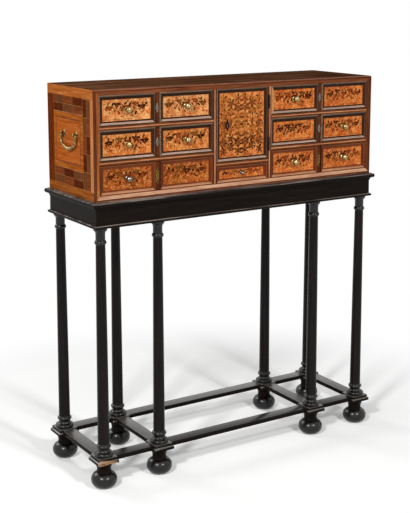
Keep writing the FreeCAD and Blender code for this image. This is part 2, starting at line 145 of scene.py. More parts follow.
def pull(x, y, z):
    """Extrudes what is selected by a distance in metres."""
    bpy.ops.mesh.extrude_region_move(TRANSFORM_OT_translate={"value": (x, y, z)})


def close_up():
    """Turns all faces of the piece in edit mode outward and goes back to object mode."""
    bpy.ops.mesh.select_all(action="SELECT")
    bpy.ops.mesh.normals_make_consistent(inside=False)
    done()


def modify(piece, kind, **settings):
    """Adds a modifier and applies it at once."""
    bench(piece)
    made = piece.modifiers.new(kind.lower(), kind)
    for key, value in settings.items():
        setattr(made, key, value)
    bpy.ops.object.modifier_apply(modifier=made.name)


def cut(piece, *cutters):
    """Takes the cutters' shapes out of a piece and throws the cutters away."""
    for cutter in cutters:
        modify(piece, "BOOLEAN", operation="DIFFERENCE", object=cutter, solver="EXACT")
    scrap(*cutters)


def smooth(piece, angle_deg=35):
    """Shades a piece smooth, apart from edges sharper than an angle."""
    bench(piece)
    bpy.ops.object.shade_smooth_by_angle(angle=math.radians(angle_deg))


def ease(piece, width_mm, segments=2):
    """Rounds the sharp edges a little, as planing and handling do, and shades the rest smooth."""
    modify(piece, "BEVEL", width=width_mm * MM, segments=segments, limit_method="ANGLE",
           angle_limit=math.radians(EASE_ANGLE), use_clamp_overlap=True)
    smooth(piece)


# %% Copy, join and mount
def copy_of(piece, name, matrix):
    """A copy with its own mesh, set in place inside that mesh."""
    mesh = piece.data.copy()
    mesh.transform(matrix)
    mesh.name = name
    made = bpy.data.objects.new(name, mesh)
    bpy.context.scene.collection.objects.link(made)
    return made


def joined(name, pieces):
    """Several pieces made into one mesh."""
    bench(*pieces)
    if len(pieces) > 1:
        bpy.ops.object.join()
    piece = bpy.context.object
    piece.name = piece.data.name = name
    return piece


def scrap(*pieces):
    """Throws patterns and cutters away."""
    for piece in pieces:
        bpy.data.objects.remove(piece)


def coat(piece, *finishes):
    """Gives a piece its finishes; the first one covers every face until faces are sorted."""
    for finish in finishes:
        piece.data.materials.append(finish)
    return piece


def sort_faces(piece, rule):
    """Gives each face the number of its finish, by the face's middle and normal."""
    for face in piece.data.polygons:
        face.material_index = rule(face.center, face.normal)


def mount(piece, body, slot, *stands_for):
    """Lets a piece ride on its body and hides the frame nodes it stands for."""
    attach(piece, body)
    if stands_for:
        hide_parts(*stands_for)
    return piece


# %% [markdown]
# Finishes
#
# Nearly everything is wood, and wood is seen by its figure, its pores and its gloss. A photograph of a board
# could be pasted on, but a pattern that is worked out follows any board and any grain. Colours are written
# as sRGB hex values and turned to linear light once. Every pattern's scale comes from a size in millimetres.
# One function adds a node with its settings and links; the finishes differ only in what they wire together.

# %% Helpers for finishes
FINISHES = []


def linear(hex_colour):
    """An sRGB hex colour as linear RGBA."""
    channels = [int(hex_colour[i:i + 2], 16) / 255 for i in (1, 3, 5)]
    return [c / 12.92 if c <= 0.04045 else ((c + 0.055) / 1.055) ** 2.4 for c in channels] + [1.0]


def add(tree, kind, sockets=None, stops=None, **settings):
    """One node: settings are its properties, sockets its inputs (a value, or an output to link)."""
    made = tree.nodes.new(kind)
    for key, value in settings.items():
        setattr(made, key, value)
    for key, value in (sockets or {}).items():
        if isinstance(value, bpy.types.NodeSocket):
            tree.links.new(value, made.inputs[key])
        else:
            made.inputs[key].default_value = value
    if stops:
        ramp = made.color_ramp.elements
        while len(ramp) < len(stops):
            ramp.new(0.5)
        for element, (place, colour) in zip(ramp, stops):
            element.position = place
            element.color = linear(colour)
    return made


def new_finish(name, **values):
    """A new material, its tree and main shader, with the values that are the same all over the surface."""
    material = bpy.data.materials.new(name)
    material.use_nodes = True
    shader = material.node_tree.nodes["Principled BSDF"]
    for key, value in values.items():
        shader.inputs[key.replace("_", " ")].default_value = value
    FINISHES.append(name)
    return material, material.node_tree, shader


# %% Wood of any colour and grain
SPREAD = {2: (0.25, 0.7), 3: (0.25, 0.5, 0.75)}  # usual places of two or three colours in the figure
EVEN, CLOSE, SHARP = (0.3, 0.7), (0.3, 0.5, 0.7), (0.35, 0.5, 0.65)  # an even, a closer, a sharp change
FIGURE_STRETCH, PORE_STRETCH = 0.07, 0.03  # how far figure and pores are drawn out along the grain


def wood(name, colours, grain, figure_mm, pore_mm, roughness, places=None, edge_wear_and_highlight=None, specular=0.05,
         relief_mm=0.05):
    """Planed and polished wood: a broad figure drawn out along the grain, fine pores, and edges made paler
    by wear and by a painted highlight.

    Colours run from the dark lines of the figure to the light ones. Real pores are about 0.1 mm wide, too
    fine to show, so they are drawn as coarse as pore_mm.
    """
    material, tree, shader = new_finish(name, Specular_IOR_Level=specular)
    place = add(tree, "ShaderNodeTexCoord").outputs["Object"]
    figure_scale = [1 / (figure_mm * MM)] * 3
    pore_scale = [1 / (pore_mm * MM)] * 3
    figure_scale["XYZ".index(grain)] *= FIGURE_STRETCH
    pore_scale["XYZ".index(grain)] *= PORE_STRETCH
    figure = add(tree, "ShaderNodeTexNoise", {
        "Vector": add(tree, "ShaderNodeMapping", {"Vector": place, "Scale": figure_scale}).outputs["Vector"],
        "Scale": 1.0, "Detail": 5.0, "Roughness": 0.6, "Distortion": 0.7}).outputs["Fac"]
    pores = add(tree, "ShaderNodeTexNoise", {
        "Vector": add(tree, "ShaderNodeMapping", {"Vector": place, "Scale": pore_scale}).outputs["Vector"],
        "Scale": 1.0, "Detail": 3.0, "Roughness": 0.55}).outputs["Fac"]
    stops = list(zip(places or SPREAD[len(colours)], colours))
    colour = add(tree, "ShaderNodeValToRGB", {"Fac": figure}, stops=stops).outputs["Color"]
    shade = add(tree, "ShaderNodeMapRange", {"Value": pores, "From Min": 0.3, "From Max": 0.7,
                                             "To Min": 0.7, "To Max": 1.15}).outputs["Result"]
    colour = add(tree, "ShaderNodeVectorMath", {0: colour, 1: shade}, operation="MULTIPLY").outputs["Vector"]
    if edge_wear_and_highlight:
        # Paler sharp edges: part wear, part a painted highlight.
        edge = add(tree, "ShaderNodeMapRange", {
            "Value": add(tree, "ShaderNodeNewGeometry").outputs["Pointiness"],
            "From Min": 0.54, "From Max": 0.66, "To Max": 0.7}).outputs["Result"]
        colour = add(tree, "ShaderNodeMix", {0: edge, 6: colour, 7: linear(edge_wear_and_highlight)},
                     data_type="RGBA").outputs[2]
    tree.links.new(colour, shader.inputs["Base Color"])
    gloss = add(tree, "ShaderNodeMapRange", {"Value": pores, "From Min": 0.25, "From Max": 0.75,
                                             "To Min": roughness + 0.1, "To Max": roughness - 0.06})
    tree.links.new(gloss.outputs["Result"], shader.inputs["Roughness"])
    relief = add(tree, "ShaderNodeBump", {"Height": pores, "Distance": relief_mm * MM, "Strength": 0.5})
    tree.links.new(relief.outputs["Normal"], shader.inputs["Normal"])
    return material


# %% [markdown]
# The stand: ebonised wood
#
# The stand is pearwood stained black and polished. It could be one flat black, but then turnings and flat
# tops would look alike. Black shows no figure, so what the eye gets is gloss: soft lights on the turnings, a
# grey sheen on flat tops seen at a low angle, painted into their colour, and bare brown where a splinter is
# gone. So each kind of surface has a gloss of its own.

# %% Ebonised finishes
# Polished shafts: a thin soft line of light runs up each one.
ebonised = wood("ebonised pearwood, turned and polished", ("#0c0907", "#191411"), "Z", 14, 0.7, 0.16, EVEN,
                specular=0.12, relief_mm=0.02)
# Burnished rings and feet: round lights on near black.
ebonised_rings = wood("ebonised pearwood, turned and burnished", ("#070504", "#110d0b"), "Z", 14, 0.7, 0.23,
                      EVEN, specular=0.38, relief_mm=0.01)
# Waxed flats and necks: an even, dull black.
ebonised_flat = wood("ebonised pearwood, planed and waxed", ("#100c0a", "#1e1814"), "X", 12, 0.7, 0.34, EVEN,
                     specular=0.03)
# Tops: a grey painted sheen, as they show at a low angle, over a strong real gloss.
ebonised_painted_sheen = wood("ebonised pearwood, polished, sheen painted grey", ("#2e2a26", "#4c463f"), "X", 12, 0.7, 0.3, EVEN,
                       specular=0.9)
# Front stretcher tops: the same black without the painted sheen, a faint real sheen only.
ebonised_dim = wood("ebonised pearwood, rubbed smooth", ("#120e0b", "#221b17"), "X", 12, 0.7, 0.2, EVEN,
                    specular=0.25)
# The ledge round the case: a grey painted sheen in streaks, on its faces that look up.
ebonised_streaked_sheen = wood("ebonised pearwood, grey painted sheen in streaks", ("#1e1815", "#584f49", "#91877f"), "X", 18, 0.7,
                        0.5, SHARP)
# A fresh break: bare fibres from brown to cream.
bare_break = wood("broken pearwood, bare", ("#40291a", "#a37c58", "#e4cbae"), "X", 5, 0.6, 0.75, SHARP,
                  relief_mm=0.4)
print("finishes so far:", len(FINISHES))

# %% [markdown]
# Columns and feet
#
# A turner cuts a column from the square with gouges, following a drawn half outline. It could be stacked
# from cylinders and rings, but one point that is extruded along the outline and spun round gives the
# turner's own shape in one mesh. Outlines are (radius, height) in millimetres, and their round members are
# arcs through three points.

# %% Sizes of the turned work
BLOCK_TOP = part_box("plinth_blocks")[1].z / MM
BLOCK_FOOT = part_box("bun_feet")[1].z / MM
FRIEZE_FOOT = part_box("frieze_front")[0].z / MM
SHAFT_FOOT_RADIUS, SHAFT_HEAD_RADIUS, SHAFT_SWELL = 19.2, 15.5, 0.35
BASE_HEIGHT, BASE_REACH = 41.0, 12.3
CAPITAL_HEIGHT, CAPITAL_REACH = 54.0, 6.5
FOOT_RADIUS, NECK_SHARE = 43.0, 0.6
columns = {name: (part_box(name)[0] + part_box(name)[1]) / 2 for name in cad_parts
           if name.startswith("column_")}
print("shafts run from", BLOCK_TOP + BASE_HEIGHT, "to", FRIEZE_FOOT - CAPITAL_HEIGHT, "mm above the floor")


# %% Lathe work
WELD = 0.002


def arc(begin, through, end, steps=7):
    """Points after begin, up to end, on the circle through three points."""
    (ax, ay), (bx, by), (cx, cy) = begin, through, end
    twice = 2 * (ax * (by - cy) + bx * (cy - ay) + cx * (ay - by))
    a2, b2, c2 = ax * ax + ay * ay, bx * bx + by * by, cx * cx + cy * cy
    ux = (a2 * (by - cy) + b2 * (cy - ay) + c2 * (ay - by)) / twice
    uy = (a2 * (cx - bx) + b2 * (ax - cx) + c2 * (bx - ax)) / twice
    radius = math.hypot(ax - ux, ay - uy)
    first, middle, last = (math.atan2(y - uy, x - ux) for x, y in (begin, through, end))
    way = (last - first) % (2 * math.pi)
    if (middle - first) % (2 * math.pi) > way:
        way -= 2 * math.pi
    turns = [first + way * step / steps for step in range(1, steps + 1)]
    return [(ux + radius * math.cos(turn), uy + radius * math.sin(turn)) for turn in turns]


def turned(name, outline, segments=48):
    """One point is extruded along the half outline and spun about Z."""
    piece = start(name, bpy.ops.mesh.primitive_plane_add, size=MM)
    edit(piece, "VERT")
    bpy.ops.mesh.merge(type="CENTER")
    bpy.ops.transform.translate(value=(outline[0][0] * MM, 0, outline[0][1] * MM))
    for (r0, z0), (r1, z1) in zip(outline, outline[1:]):
        pull((r1 - r0) * MM, 0, (z1 - z0) * MM)
    bpy.ops.mesh.select_all(action="SELECT")
    bpy.ops.mesh.spin(steps=segments, angle=2 * math.pi, center=(0, 0, 0), axis=(0, 0, 1))
    bpy.ops.mesh.select_all(action="SELECT")
    bpy.ops.mesh.remove_doubles(threshold=WELD * MM)
    close_up()
    smooth(piece)
    return piece


# %% Turn one column and copy it to its eight places
def at_base(out, up):
    """A point of the base, in shares of its reach and height."""
    return SHAFT_FOOT_RADIUS + BASE_REACH * out, BLOCK_TOP + BASE_HEIGHT * up


def at_capital(out, down):
    """A point of the capital, in shares of its reach and height."""
    return SHAFT_HEAD_RADIUS + CAPITAL_REACH * out, FRIEZE_FOOT - CAPITAL_HEIGHT * down


shaft_foot, shaft_head = at_base(0, 1), at_capital(0, 1)
shaft_middle = ((shaft_foot[0] + shaft_head[0]) / 2 + SHAFT_SWELL, (shaft_foot[1] + shaft_head[1]) / 2)
column_outline = [
    (0, BLOCK_TOP), at_base(0.85, 0), at_base(0.85, 0.06),
    *arc(at_base(0.85, 0.06), at_base(1, 0.17), at_base(0.8, 0.28)), at_base(0.45, 0.3), at_base(0.45, 0.35),
    *arc(at_base(0.45, 0.35), at_base(0.02, 0.5), at_base(0.12, 0.64)), at_base(0.2, 0.66),
    *arc(at_base(0.2, 0.66), at_base(0.4, 0.79), at_base(0.2, 0.92)), at_base(0.08, 0.94), shaft_foot,
    *arc(shaft_foot, shaft_middle, shaft_head), at_capital(0.2, 0.98),
    *arc(at_capital(0.2, 0.98), at_capital(0.6, 0.87), at_capital(0.2, 0.76)), at_capital(0, 0.74),
    at_capital(0, 0.36), *arc(at_capital(0, 0.36), at_capital(0.35, 0.22), at_capital(0.9, 0.15)),
    at_capital(1, 0.15), at_capital(1, 0), (0, FRIEZE_FOOT)]
pattern = coat(turned("column_pattern", column_outline), ebonised, ebonised_rings)
sort_faces(pattern, lambda c, n: 0 if shaft_foot[1] < c.z / MM < shaft_head[1] else 1)
for name, middle in columns.items():
    made = copy_of(pattern, "turned_" + name, Matrix.Translation((middle.x, middle.y, 0)))
    mount(made, "cabinet", "ebonised_wood", name)
scrap(pattern)
print("columns:", len(columns))


# %% Turn one bun foot and copy it
def at_foot(out, up):
    """A point of the foot, in shares of its radius and height."""
    return FOOT_RADIUS * out, BLOCK_FOOT * up


foot_outline = [
    (0, 0), at_foot(0.55, 0), at_foot(0.58, 0.005),
    *arc(at_foot(0.58, 0.005), at_foot(1, 0.3), at_foot(0.58, 0.6), 14), at_foot(0.54, 0.64),
    *arc(at_foot(0.54, 0.64), at_foot(0.56, 0.82), at_foot(0.66, 0.93)), at_foot(0.68, 0.95),
    at_foot(0.68, 1), (0, BLOCK_FOOT)]
pattern = coat(turned("foot_pattern", foot_outline), ebonised_rings, ebonised_flat)
sort_faces(pattern, lambda c, n: 1 if c.z > NECK_SHARE * BLOCK_FOOT * MM else 0)
feet = [copy_of(pattern, "foot", Matrix.Translation((middle.x, middle.y, 0))) for middle in columns.values()]
scrap(pattern)
mount(joined("turned_feet", feet), "cabinet", "ebonised_wood", "bun_feet")
print("feet:", len(feet))

# %% [markdown]
# Plinth blocks, stretchers and the head of the stand
#
# These are planed, not turned. Mouldings could be swept along the edges and cut to mitres, but a rectangle
# that is extruded and resized ring by ring gives the stepped block or the moulded edge with true mitres at
# once. The front left block has lost a splinter from its face: a rough lump cut out of it shows bare wood.

# %% Sizes of the planed work
BLOCK_HALF, BLOCK_FLANGE, BLOCK_SOLE = 32.5, 37.0, 35.0
BLOCK_RINGS = ((BLOCK_SOLE, 0.0), (BLOCK_FLANGE, 2.0), (BLOCK_FLANGE, 9.9), (BLOCK_HALF, 13.2),
               (BLOCK_HALF, 22.0))
BLOCK_EASE, RAIL_EASE = 1.2, 0.9
SHEEN_SLOPE = 0.3  # upward part of a normal from which a face gets the painted sheen
CHIPPED = "column_front_1"
CHIP_SIZE, CHIP_ASIDE, CHIP_UP = (74.0, 11.5, 25.0), -3.0, 8.0
CHIP_TAPER, CHIP_CUTS, CHIP_ROUGHNESS, CHIP_EVENNESS, CHIP_SEED = 0.45, 7, 1.6, 0.3, 3
rail_low, rail_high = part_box("stretcher_front")
rail_half = (rail_high.y - rail_low.y) / 2
print("stretchers are", round(2 * rail_half / MM, 1), "mm wide")


def sheen_above(middle, normal):
    """Finish 1, with a grey painted sheen, for faces that look up; finish 0, dull black, for the others."""
    return 1 if normal.z > SHEEN_SLOPE else 0


def stacked(name, rings):
    """A rectangle extruded upward ring by ring, each (half width, half depth, height) in millimetres."""
    half_x, half_y, z = rings[0]
    piece = start(name, bpy.ops.mesh.primitive_plane_add, size=2, location=(0, 0, z * MM))
    edit(piece)
    bpy.ops.transform.resize(value=(half_x * MM, half_y * MM, 1), center_override=(0, 0, z * MM))
    for (x0, y0, z0), (x1, y1, z1) in zip(rings, rings[1:]):
        pull(0, 0, (z1 - z0) * MM)
        bpy.ops.transform.resize(value=(x1 / x0, y1 / y0, 1), center_override=(0, 0, z1 * MM))
    close_up()
    return piece


# %% Plinth blocks
def splinter(middle):
    """The rough lump that is missing from the chipped block."""
    place = (middle.x + CHIP_ASIDE * MM, middle.y - BLOCK_FLANGE * MM, (BLOCK_FOOT + CHIP_UP) * MM)
    lump = start("chip", bpy.ops.mesh.primitive_cube_add, size=1, scale=Vector(CHIP_SIZE) * MM,
                 location=place)
    edit(lump, "VERT")
    pick(lump, lambda c, n: c.x > middle.x, "VERT")
    bpy.ops.transform.resize(value=(1, 1, CHIP_TAPER), center_override=(0, 0, BLOCK_FOOT * MM))
    bpy.ops.mesh.select_all(action="SELECT")
    bpy.ops.mesh.subdivide(number_cuts=CHIP_CUTS)
    bpy.ops.transform.vertex_random(offset=CHIP_ROUGHNESS * MM, uniform=CHIP_EVENNESS, seed=CHIP_SEED)
    done()
    coat(lump, ebonised_flat, ebonised_painted_sheen, bare_break)
    sort_faces(lump, lambda c, n: 2)
    return lump


pattern = stacked("block_pattern", [(half, half, BLOCK_FOOT + up) for half, up in BLOCK_RINGS])
coat(pattern, ebonised_flat, ebonised_painted_sheen, bare_break)
ease(pattern, BLOCK_EASE)
sort_faces(pattern, sheen_above)
blocks = []
for name, middle in columns.items():
    made = copy_of(pattern, "block_" + name, Matrix.Translation((middle.x, middle.y, 0)))
    if name == CHIPPED:
        cut(made, splinter(middle))
    blocks.append(made)
scrap(pattern)
mount(joined("planed_blocks", blocks), "cabinet", "ebonised_wood", "plinth_blocks")
print("blocks:", len(blocks))


# %% Stretchers between the blocks
def stretcher(name, ends, node, above):
    """Flat rails between pairs of column places, with softened edges and their own finish above."""
    low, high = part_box(node)
    rails = []
    for a, b in ends:
        along_x = abs(b.x - a.x) > abs(b.y - a.y)
        gap = Vector((BLOCK_HALF * MM, 0)) if along_x else Vector((0, BLOCK_HALF * MM))
        side = Vector((0, rail_half)) if along_x else Vector((rail_half, 0))
        near, far = a.xy + gap - side, b.xy - gap + side
        rails.append(block(name, (near.x, near.y, low.z), (far.x, far.y, high.z)))
    piece = coat(joined(name, rails), ebonised_flat, above)
    ease(piece, RAIL_EASE, 3)
    sort_faces(piece, sheen_above)
    mount(piece, "cabinet", "ebonised_wood", node)
    print(name, "made of", len(ends), "rails")


front_row = [columns["column_front_%d" % number] for number in (1, 2, 3, 4)]
back_row = [columns["column_back_%d" % number] for number in (1, 2, 3, 4)]
stretcher("front_stretchers", list(zip(front_row, front_row[1:])), "stretcher_front", ebonised_dim)
stretcher("back_stretchers", list(zip(back_row, back_row[1:])), "stretcher_back", ebonised_painted_sheen)
stretcher("cross_rails", list(zip(front_row, back_row)), "cross_stretchers", ebonised_painted_sheen)

# %% Head of the stand: bead, frieze, cove, nose and top
top_low, top_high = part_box("stand_top")
head_x, head_y = top_high.x / MM, top_high.y / MM
frieze_head = top_low.z / MM
FRIEZE_WALL, FRIEZE_END_WALL = 44.0, 50.0
FRIEZE_BEAD = [(4.2, 0), (6.2, 1.6), (7.0, 4.5), (6.2, 7.4), (4.2, 9.0), (0.4, 9.4)]
CORNICE = [(0, -1.2), (1.6, -0.4), (1.6, 0.8), *arc((1.6, 0.8), (4.4, 7.2), (11.2, 9.9)), (11.9, 9.9),
           (12.6, 10.3), *arc((12.6, 10.3), (14.0, 16.0), (12.8, 21.8), 8), (12.0, 22.5), (2.0, 25.4),
           (0, 26.0)]
rings = [(head_x + out, head_y + out, FRIEZE_FOOT + up) for out, up in FRIEZE_BEAD]
rings += [(head_x + out, head_y + out, frieze_head + up) for out, up in CORNICE]
head = coat(stacked("stand_head", rings), ebonised_flat, ebonised_streaked_sheen)
edit(head)
pick(head, lambda c, n: n.z < -FACING and c.z < (FRIEZE_FOOT + TOUCH) * MM)
bpy.ops.mesh.inset(thickness=(FRIEZE_WALL + FRIEZE_BEAD[0][0]) * MM)
narrowing = (head_x - FRIEZE_END_WALL) / (head_x - FRIEZE_WALL)
bpy.ops.transform.resize(value=(narrowing, 1, 1), center_override=(0, 0, FRIEZE_FOOT * MM))
pull(0, 0, (frieze_head - FRIEZE_FOOT) * MM)
close_up()
smooth(head, angle_deg=25)
sort_faces(head, sheen_above)
mount(head, "cabinet", "ebonised_wood", "stand_top", "stand_mouldings", "frieze_front", "frieze_back",
      "frieze_left", "frieze_right")
print("stand head:", len(head.data.polygons), "faces")

# %% [markdown]
# Case woods
#
# The case is veneered. Its frames and rails are walnut, the mouldings of the upper drawers are ebonised and
# those of the lowest row reddish, and drawer linings are plain, dry and pale. One brown could serve for all,
# but strips differ in tone, and some carry painted light: a sheen where they look up, a highlight or shadow
# on ridges. Those small differences draw the lines of the front. So each strip has its own colours.

# %% Walnut of the case
# Rails and partitions: quiet brown with a fine dark figure.
walnut_x = wood("walnut, polished, grain across", ("#3c1a0d", "#653419", "#875129"), "X", 9, 0.8, 0.36)
walnut_z = wood("walnut, polished, grain upright", ("#3a190b", "#5e2d15", "#7d4524"), "Z", 9, 0.8, 0.36)
# Edge mouldings: warmer, and paler on their edges, partly rubbed by hands and partly a painted highlight.
edge_x = wood("walnut edge moulding, waxed, grain across", ("#482010", "#703a20", "#925634"), "X", 9, 0.8,
              0.34, edge_wear_and_highlight="#b88464", specular=0.06)
edge_z = wood("walnut edge moulding, waxed, grain upright", ("#683010", "#964f22", "#b8743e"), "Z", 9, 0.8,
              0.34, edge_wear_and_highlight="#cf9a6c", specular=0.06)
# The lower edge: a pale line along the foot of the case, painted light on the slope that looks up.
edge_sill = wood("walnut edge moulding, painted pale where it looks up", ("#9c664a", "#c49272", "#e0ba9e"), "X",
                 9, 0.8, 0.34, edge_wear_and_highlight="#ecd0ba", specular=0.1)
# The groove: a dark line that sets the moulding off.
groove = wood("walnut groove, coloured dark", ("#2a1007", "#48200f"), "X", 7, 0.7, 0.5)
# The top: dull and dark, so that the front stands out.
top_wood = wood("walnut top, dark with old wax", ("#2c180e", "#583724", "#83593f"), "X", 16, 1.0, 0.6, CLOSE,
                specular=0.0)
print("finishes so far:", len(FINISHES))

# %% Mouldings and linings
# Black strips: brown-black with grey edges, partly worn and partly a painted highlight.
black_x = wood("ebonised moulding, rubbed, grain across", ("#1c0f08", "#362012"), "X", 7, 0.7, 0.32,
               edge_wear_and_highlight="#8a7464", specular=0.06)
black_z = wood("ebonised moulding, rubbed, grain upright", ("#241308", "#422614"), "Z", 7, 0.7, 0.32,
               edge_wear_and_highlight="#8a7464", specular=0.06)
# Ridge and lower strip painted paler: a greyish-brown painted highlight and a pale painted sheen.
black_ridge = wood("ebonised moulding, painted highlight on the ridge", ("#5c4634", "#8a705c"), "X", 7, 0.7, 0.32)
black_sill = wood("ebonised moulding, painted sheen along the foot", ("#866656", "#bb9c89"), "X", 7, 0.7,
                  0.32, edge_wear_and_highlight="#c4ac9a", specular=0.12)
# Red strips of the lowest row: close in tone to the panels.
red_x = wood("stained fruitwood moulding, grain across", ("#4c200c", "#7a3c1b"), "X", 7, 0.7, 0.34,
             edge_wear_and_highlight="#b07448", specular=0.1)
red_z = wood("stained fruitwood moulding, grain upright", ("#451b09", "#6c3214"), "Z", 7, 0.7, 0.34,
             edge_wear_and_highlight="#a0633a", specular=0.1)
# Outer edge of the top and left strips painted dark: a painted shadow of the gap round the drawer.
red_ridge = wood("stained fruitwood moulding, dark outer edge", ("#301206", "#54260f"), "X", 7, 0.7, 0.34)
# Lower strip painted pale: a painted sheen.
red_sill = wood("stained fruitwood moulding, painted sheen along the foot", ("#8a5031", "#c08a64"), "X", 7, 0.7,
                0.34, edge_wear_and_highlight="#d9ae8c", specular=0.1)
# One strip that was replaced and never stained: a pale stroke among dark ones.
pale_z = wood("bare fruitwood moulding, replaced strip", ("#b07740", "#d3a068"), "Z", 7, 0.7, 0.45)
# Dry pine: pale and matt inside the drawers, brown and rough behind.
lining = wood("planed pine lining, dry", ("#a2784e", "#c0976a", "#d8b68a"), "Y", 8, 0.9, 0.7)
back_pine = wood("pine back boards, dry and darkened", ("#4f3019", "#75492a", "#96683f"), "X", 11, 0.9, 0.75,
                 relief_mm=0.2)
print("finishes so far:", len(FINISHES))

# %% Burr ground of the panels
BURR_PLACES = (0.28, 0.42, 0.54, 0.7)
EYE_MM, CURL_MM, CLOUD_MM, CLUSTER_MM = 4.5, 13.0, 17.0, 35.0


def burr(name, *colours):
    """Burr veneer: close curls, clusters of small dark eyes and reddish clouds, under old polish."""
    material, tree, shader = new_finish(name, Specular_IOR_Level=0.05)
    place = add(tree, "ShaderNodeTexCoord").outputs["Object"]
    curls = add(tree, "ShaderNodeTexNoise", {"Vector": place, "Scale": 1 / (CURL_MM * MM), "Detail": 7.0,
                                             "Roughness": 0.75, "Distortion": 2.0}).outputs["Fac"]
    clusters = add(tree, "ShaderNodeTexNoise", {"Vector": place, "Scale": 1 / (CLUSTER_MM * MM),
                                                "Detail": 2.0}).outputs["Fac"]
    eyes = add(tree, "ShaderNodeTexVoronoi", {"Vector": place, "Scale": 1 / (EYE_MM * MM)},
               feature="SMOOTH_F1").outputs["Distance"]
    spots = add(tree, "ShaderNodeMapRange", {"Value": eyes, "From Max": 0.6, "To Min": -0.24,
                                             "To Max": 0.05}).outputs["Result"]
    crowd = add(tree, "ShaderNodeMapRange", {"Value": clusters, "From Min": 0.42,
                                             "From Max": 0.6}).outputs["Result"]
    total = add(tree, "ShaderNodeMath", {0: spots, 1: crowd, 2: curls},
                operation="MULTIPLY_ADD").outputs["Value"]
    stops = list(zip(BURR_PLACES, colours))
    colour = add(tree, "ShaderNodeValToRGB", {"Fac": total}, stops=stops).outputs["Color"]
    clouds = add(tree, "ShaderNodeTexNoise", {"Vector": place, "Scale": 1 / (CLOUD_MM * MM), "Detail": 2.0})
    blush = add(tree, "ShaderNodeValToRGB", {"Fac": clouds.outputs["Fac"]},
                stops=((0.4, "#eec6b2"), (0.58, "#ffffff"))).outputs["Color"]
    colour = add(tree, "ShaderNodeVectorMath", {0: colour, 1: blush}, operation="MULTIPLY")
    tree.links.new(colour.outputs["Vector"], shader.inputs["Base Color"])
    gloss = add(tree, "ShaderNodeMapRange", {"Value": total, "To Min": 0.46, "To Max": 0.3})
    tree.links.new(gloss.outputs["Result"], shader.inputs["Roughness"])
    relief = add(tree, "ShaderNodeBump", {"Height": total, "Distance": 0.1 * MM, "Strength": 0.4})
    tree.links.new(relief.outputs["Normal"], shader.inputs["Normal"])
    return material


# The same mottled ground, from bright gold at the top left to a deep red at the bottom left.
gold_burr = burr("golden burr veneer, polished", "#743b1c", "#bc7940", "#d99f64", "#eac292")
amber_burr = burr("amber burr veneer, polished", "#6a3315", "#b36b32", "#d28c4c", "#e5b17a")
russet_burr = burr("russet burr veneer, polished", "#6b2f13", "#b2622a", "#cf7f40", "#e2a267")
red_burr = burr("reddish burr veneer, polished", "#4c1f08", "#894515", "#b46c32", "#dca468")
print("finishes so far:", len(FINISHES))

# %% Metals
TARNISH_MM = 5.0
WARM, COOL = (0.3, 0.5, 0.75), (0.3, 0.55, 0.8)  # places of three colours in the tarnish


def metal(name, colours, roughness, places):
    """Cast or forged metal, with tarnish in soft patches."""
    material, tree, shader = new_finish(name, Metallic=1.0)
    place = add(tree, "ShaderNodeTexCoord").outputs["Object"]
    patches = add(tree, "ShaderNodeTexNoise", {"Vector": place, "Scale": 1 / (TARNISH_MM * MM),
                                               "Detail": 4.0, "Roughness": 0.6}).outputs["Fac"]
    colour = add(tree, "ShaderNodeValToRGB", {"Fac": patches}, stops=list(zip(places, colours)))
    tree.links.new(colour.outputs["Color"], shader.inputs["Base Color"])
    gloss = add(tree, "ShaderNodeMapRange", {"Value": patches, "To Min": roughness + 0.16,
                                             "To Max": roughness - 0.1})
    tree.links.new(gloss.outputs["Result"], shader.inputs["Roughness"])
    relief = add(tree, "ShaderNodeBump", {"Height": patches, "Distance": 0.1 * MM, "Strength": 0.25})
    tree.links.new(relief.outputs["Normal"], shader.inputs["Normal"])
    return material


# Knobs: a pale bright spot on brown-gold.
brass = metal("cast brass, browned, bright where it is touched", ("#574620", "#a8915c", "#f2e6c4"), 0.28,
              WARM)
# Handles: the same metal, duller where no hand keeps it clean.
old_brass = metal("cast brass, dull and browned", ("#463614", "#82692f", "#cdb67c"), 0.3, WARM)
# Long keyhole plates: soft gold with dark hollows.
gilt = metal("gilt brass, pierced and tarnished", ("#4a3714", "#8a6c34", "#c8ab6c"), 0.26, COOL)
# The stand-in knob and the small drawer's: grey with a sharp light.
silvered = metal("silvered brass, worn", ("#4a443c", "#857d72", "#c8c0b2"), 0.24, COOL)
# Small keyhole plates and locks: plain grey.
iron = metal("filed iron, oiled", ("#544c42", "#8e8578", "#c8c0b2"), 0.28, COOL)
# Hinges, nails of the back and the door's plate: near black, hardly shining.
black_iron = metal("forged iron, blackened", ("#181310", "#2c2520", "#463e37"), 0.4, COOL)
print("finishes so far:", len(FINISHES))

# %% [markdown]
# Drawer fronts
#
# A wide drawer is one board with two framed panels and a muntin between them. It could be put together from
# separate mitred strips, but insetting the face of the board again and again draws the whole moulding in one
# go and leaves true mitres at the corners. Steps are pairs of how far in and how far down, in millimetres.

# %% Sizes of the fronts
MOULDING_HEIGHT, MOULDING_WIDTH = 8.0, 15.0
MOULDING_STEPS = ((2.6, 0.0), (0.9, 1.5), (0.9, 0.0), (4.8, 3.0), (0.7, 0.7), (2.8, 0.5), (2.2, 0.7),
                  (0.1, 1.6))
SILL_START, SILL_END = 3.5, 9.5
MUNTIN_WIDTH, MUNTIN_HEIGHT = 16.0, 3.0
FRONT_EASE = 0.45
FIELD_SLACK, RIM_SLACK = 0.3, 0.4  # room for eased edges when faces are sorted
HOLE_RADIUS, HOLE_DEPTH = 2.6, 18.0
SIDES = ("left", "right")
ROWS = ("bottom", "middle", "top")
WIDE_DRAWERS = [side + "_" + row + "_drawer" for side in SIDES for row in ROWS]
DRAWERS = WIDE_DRAWERS + ["small_drawer"]
BARE_PANELS = {"left_bottom_drawer": (1,), "right_top_drawer": (1,), "right_middle_drawer": (0,)}
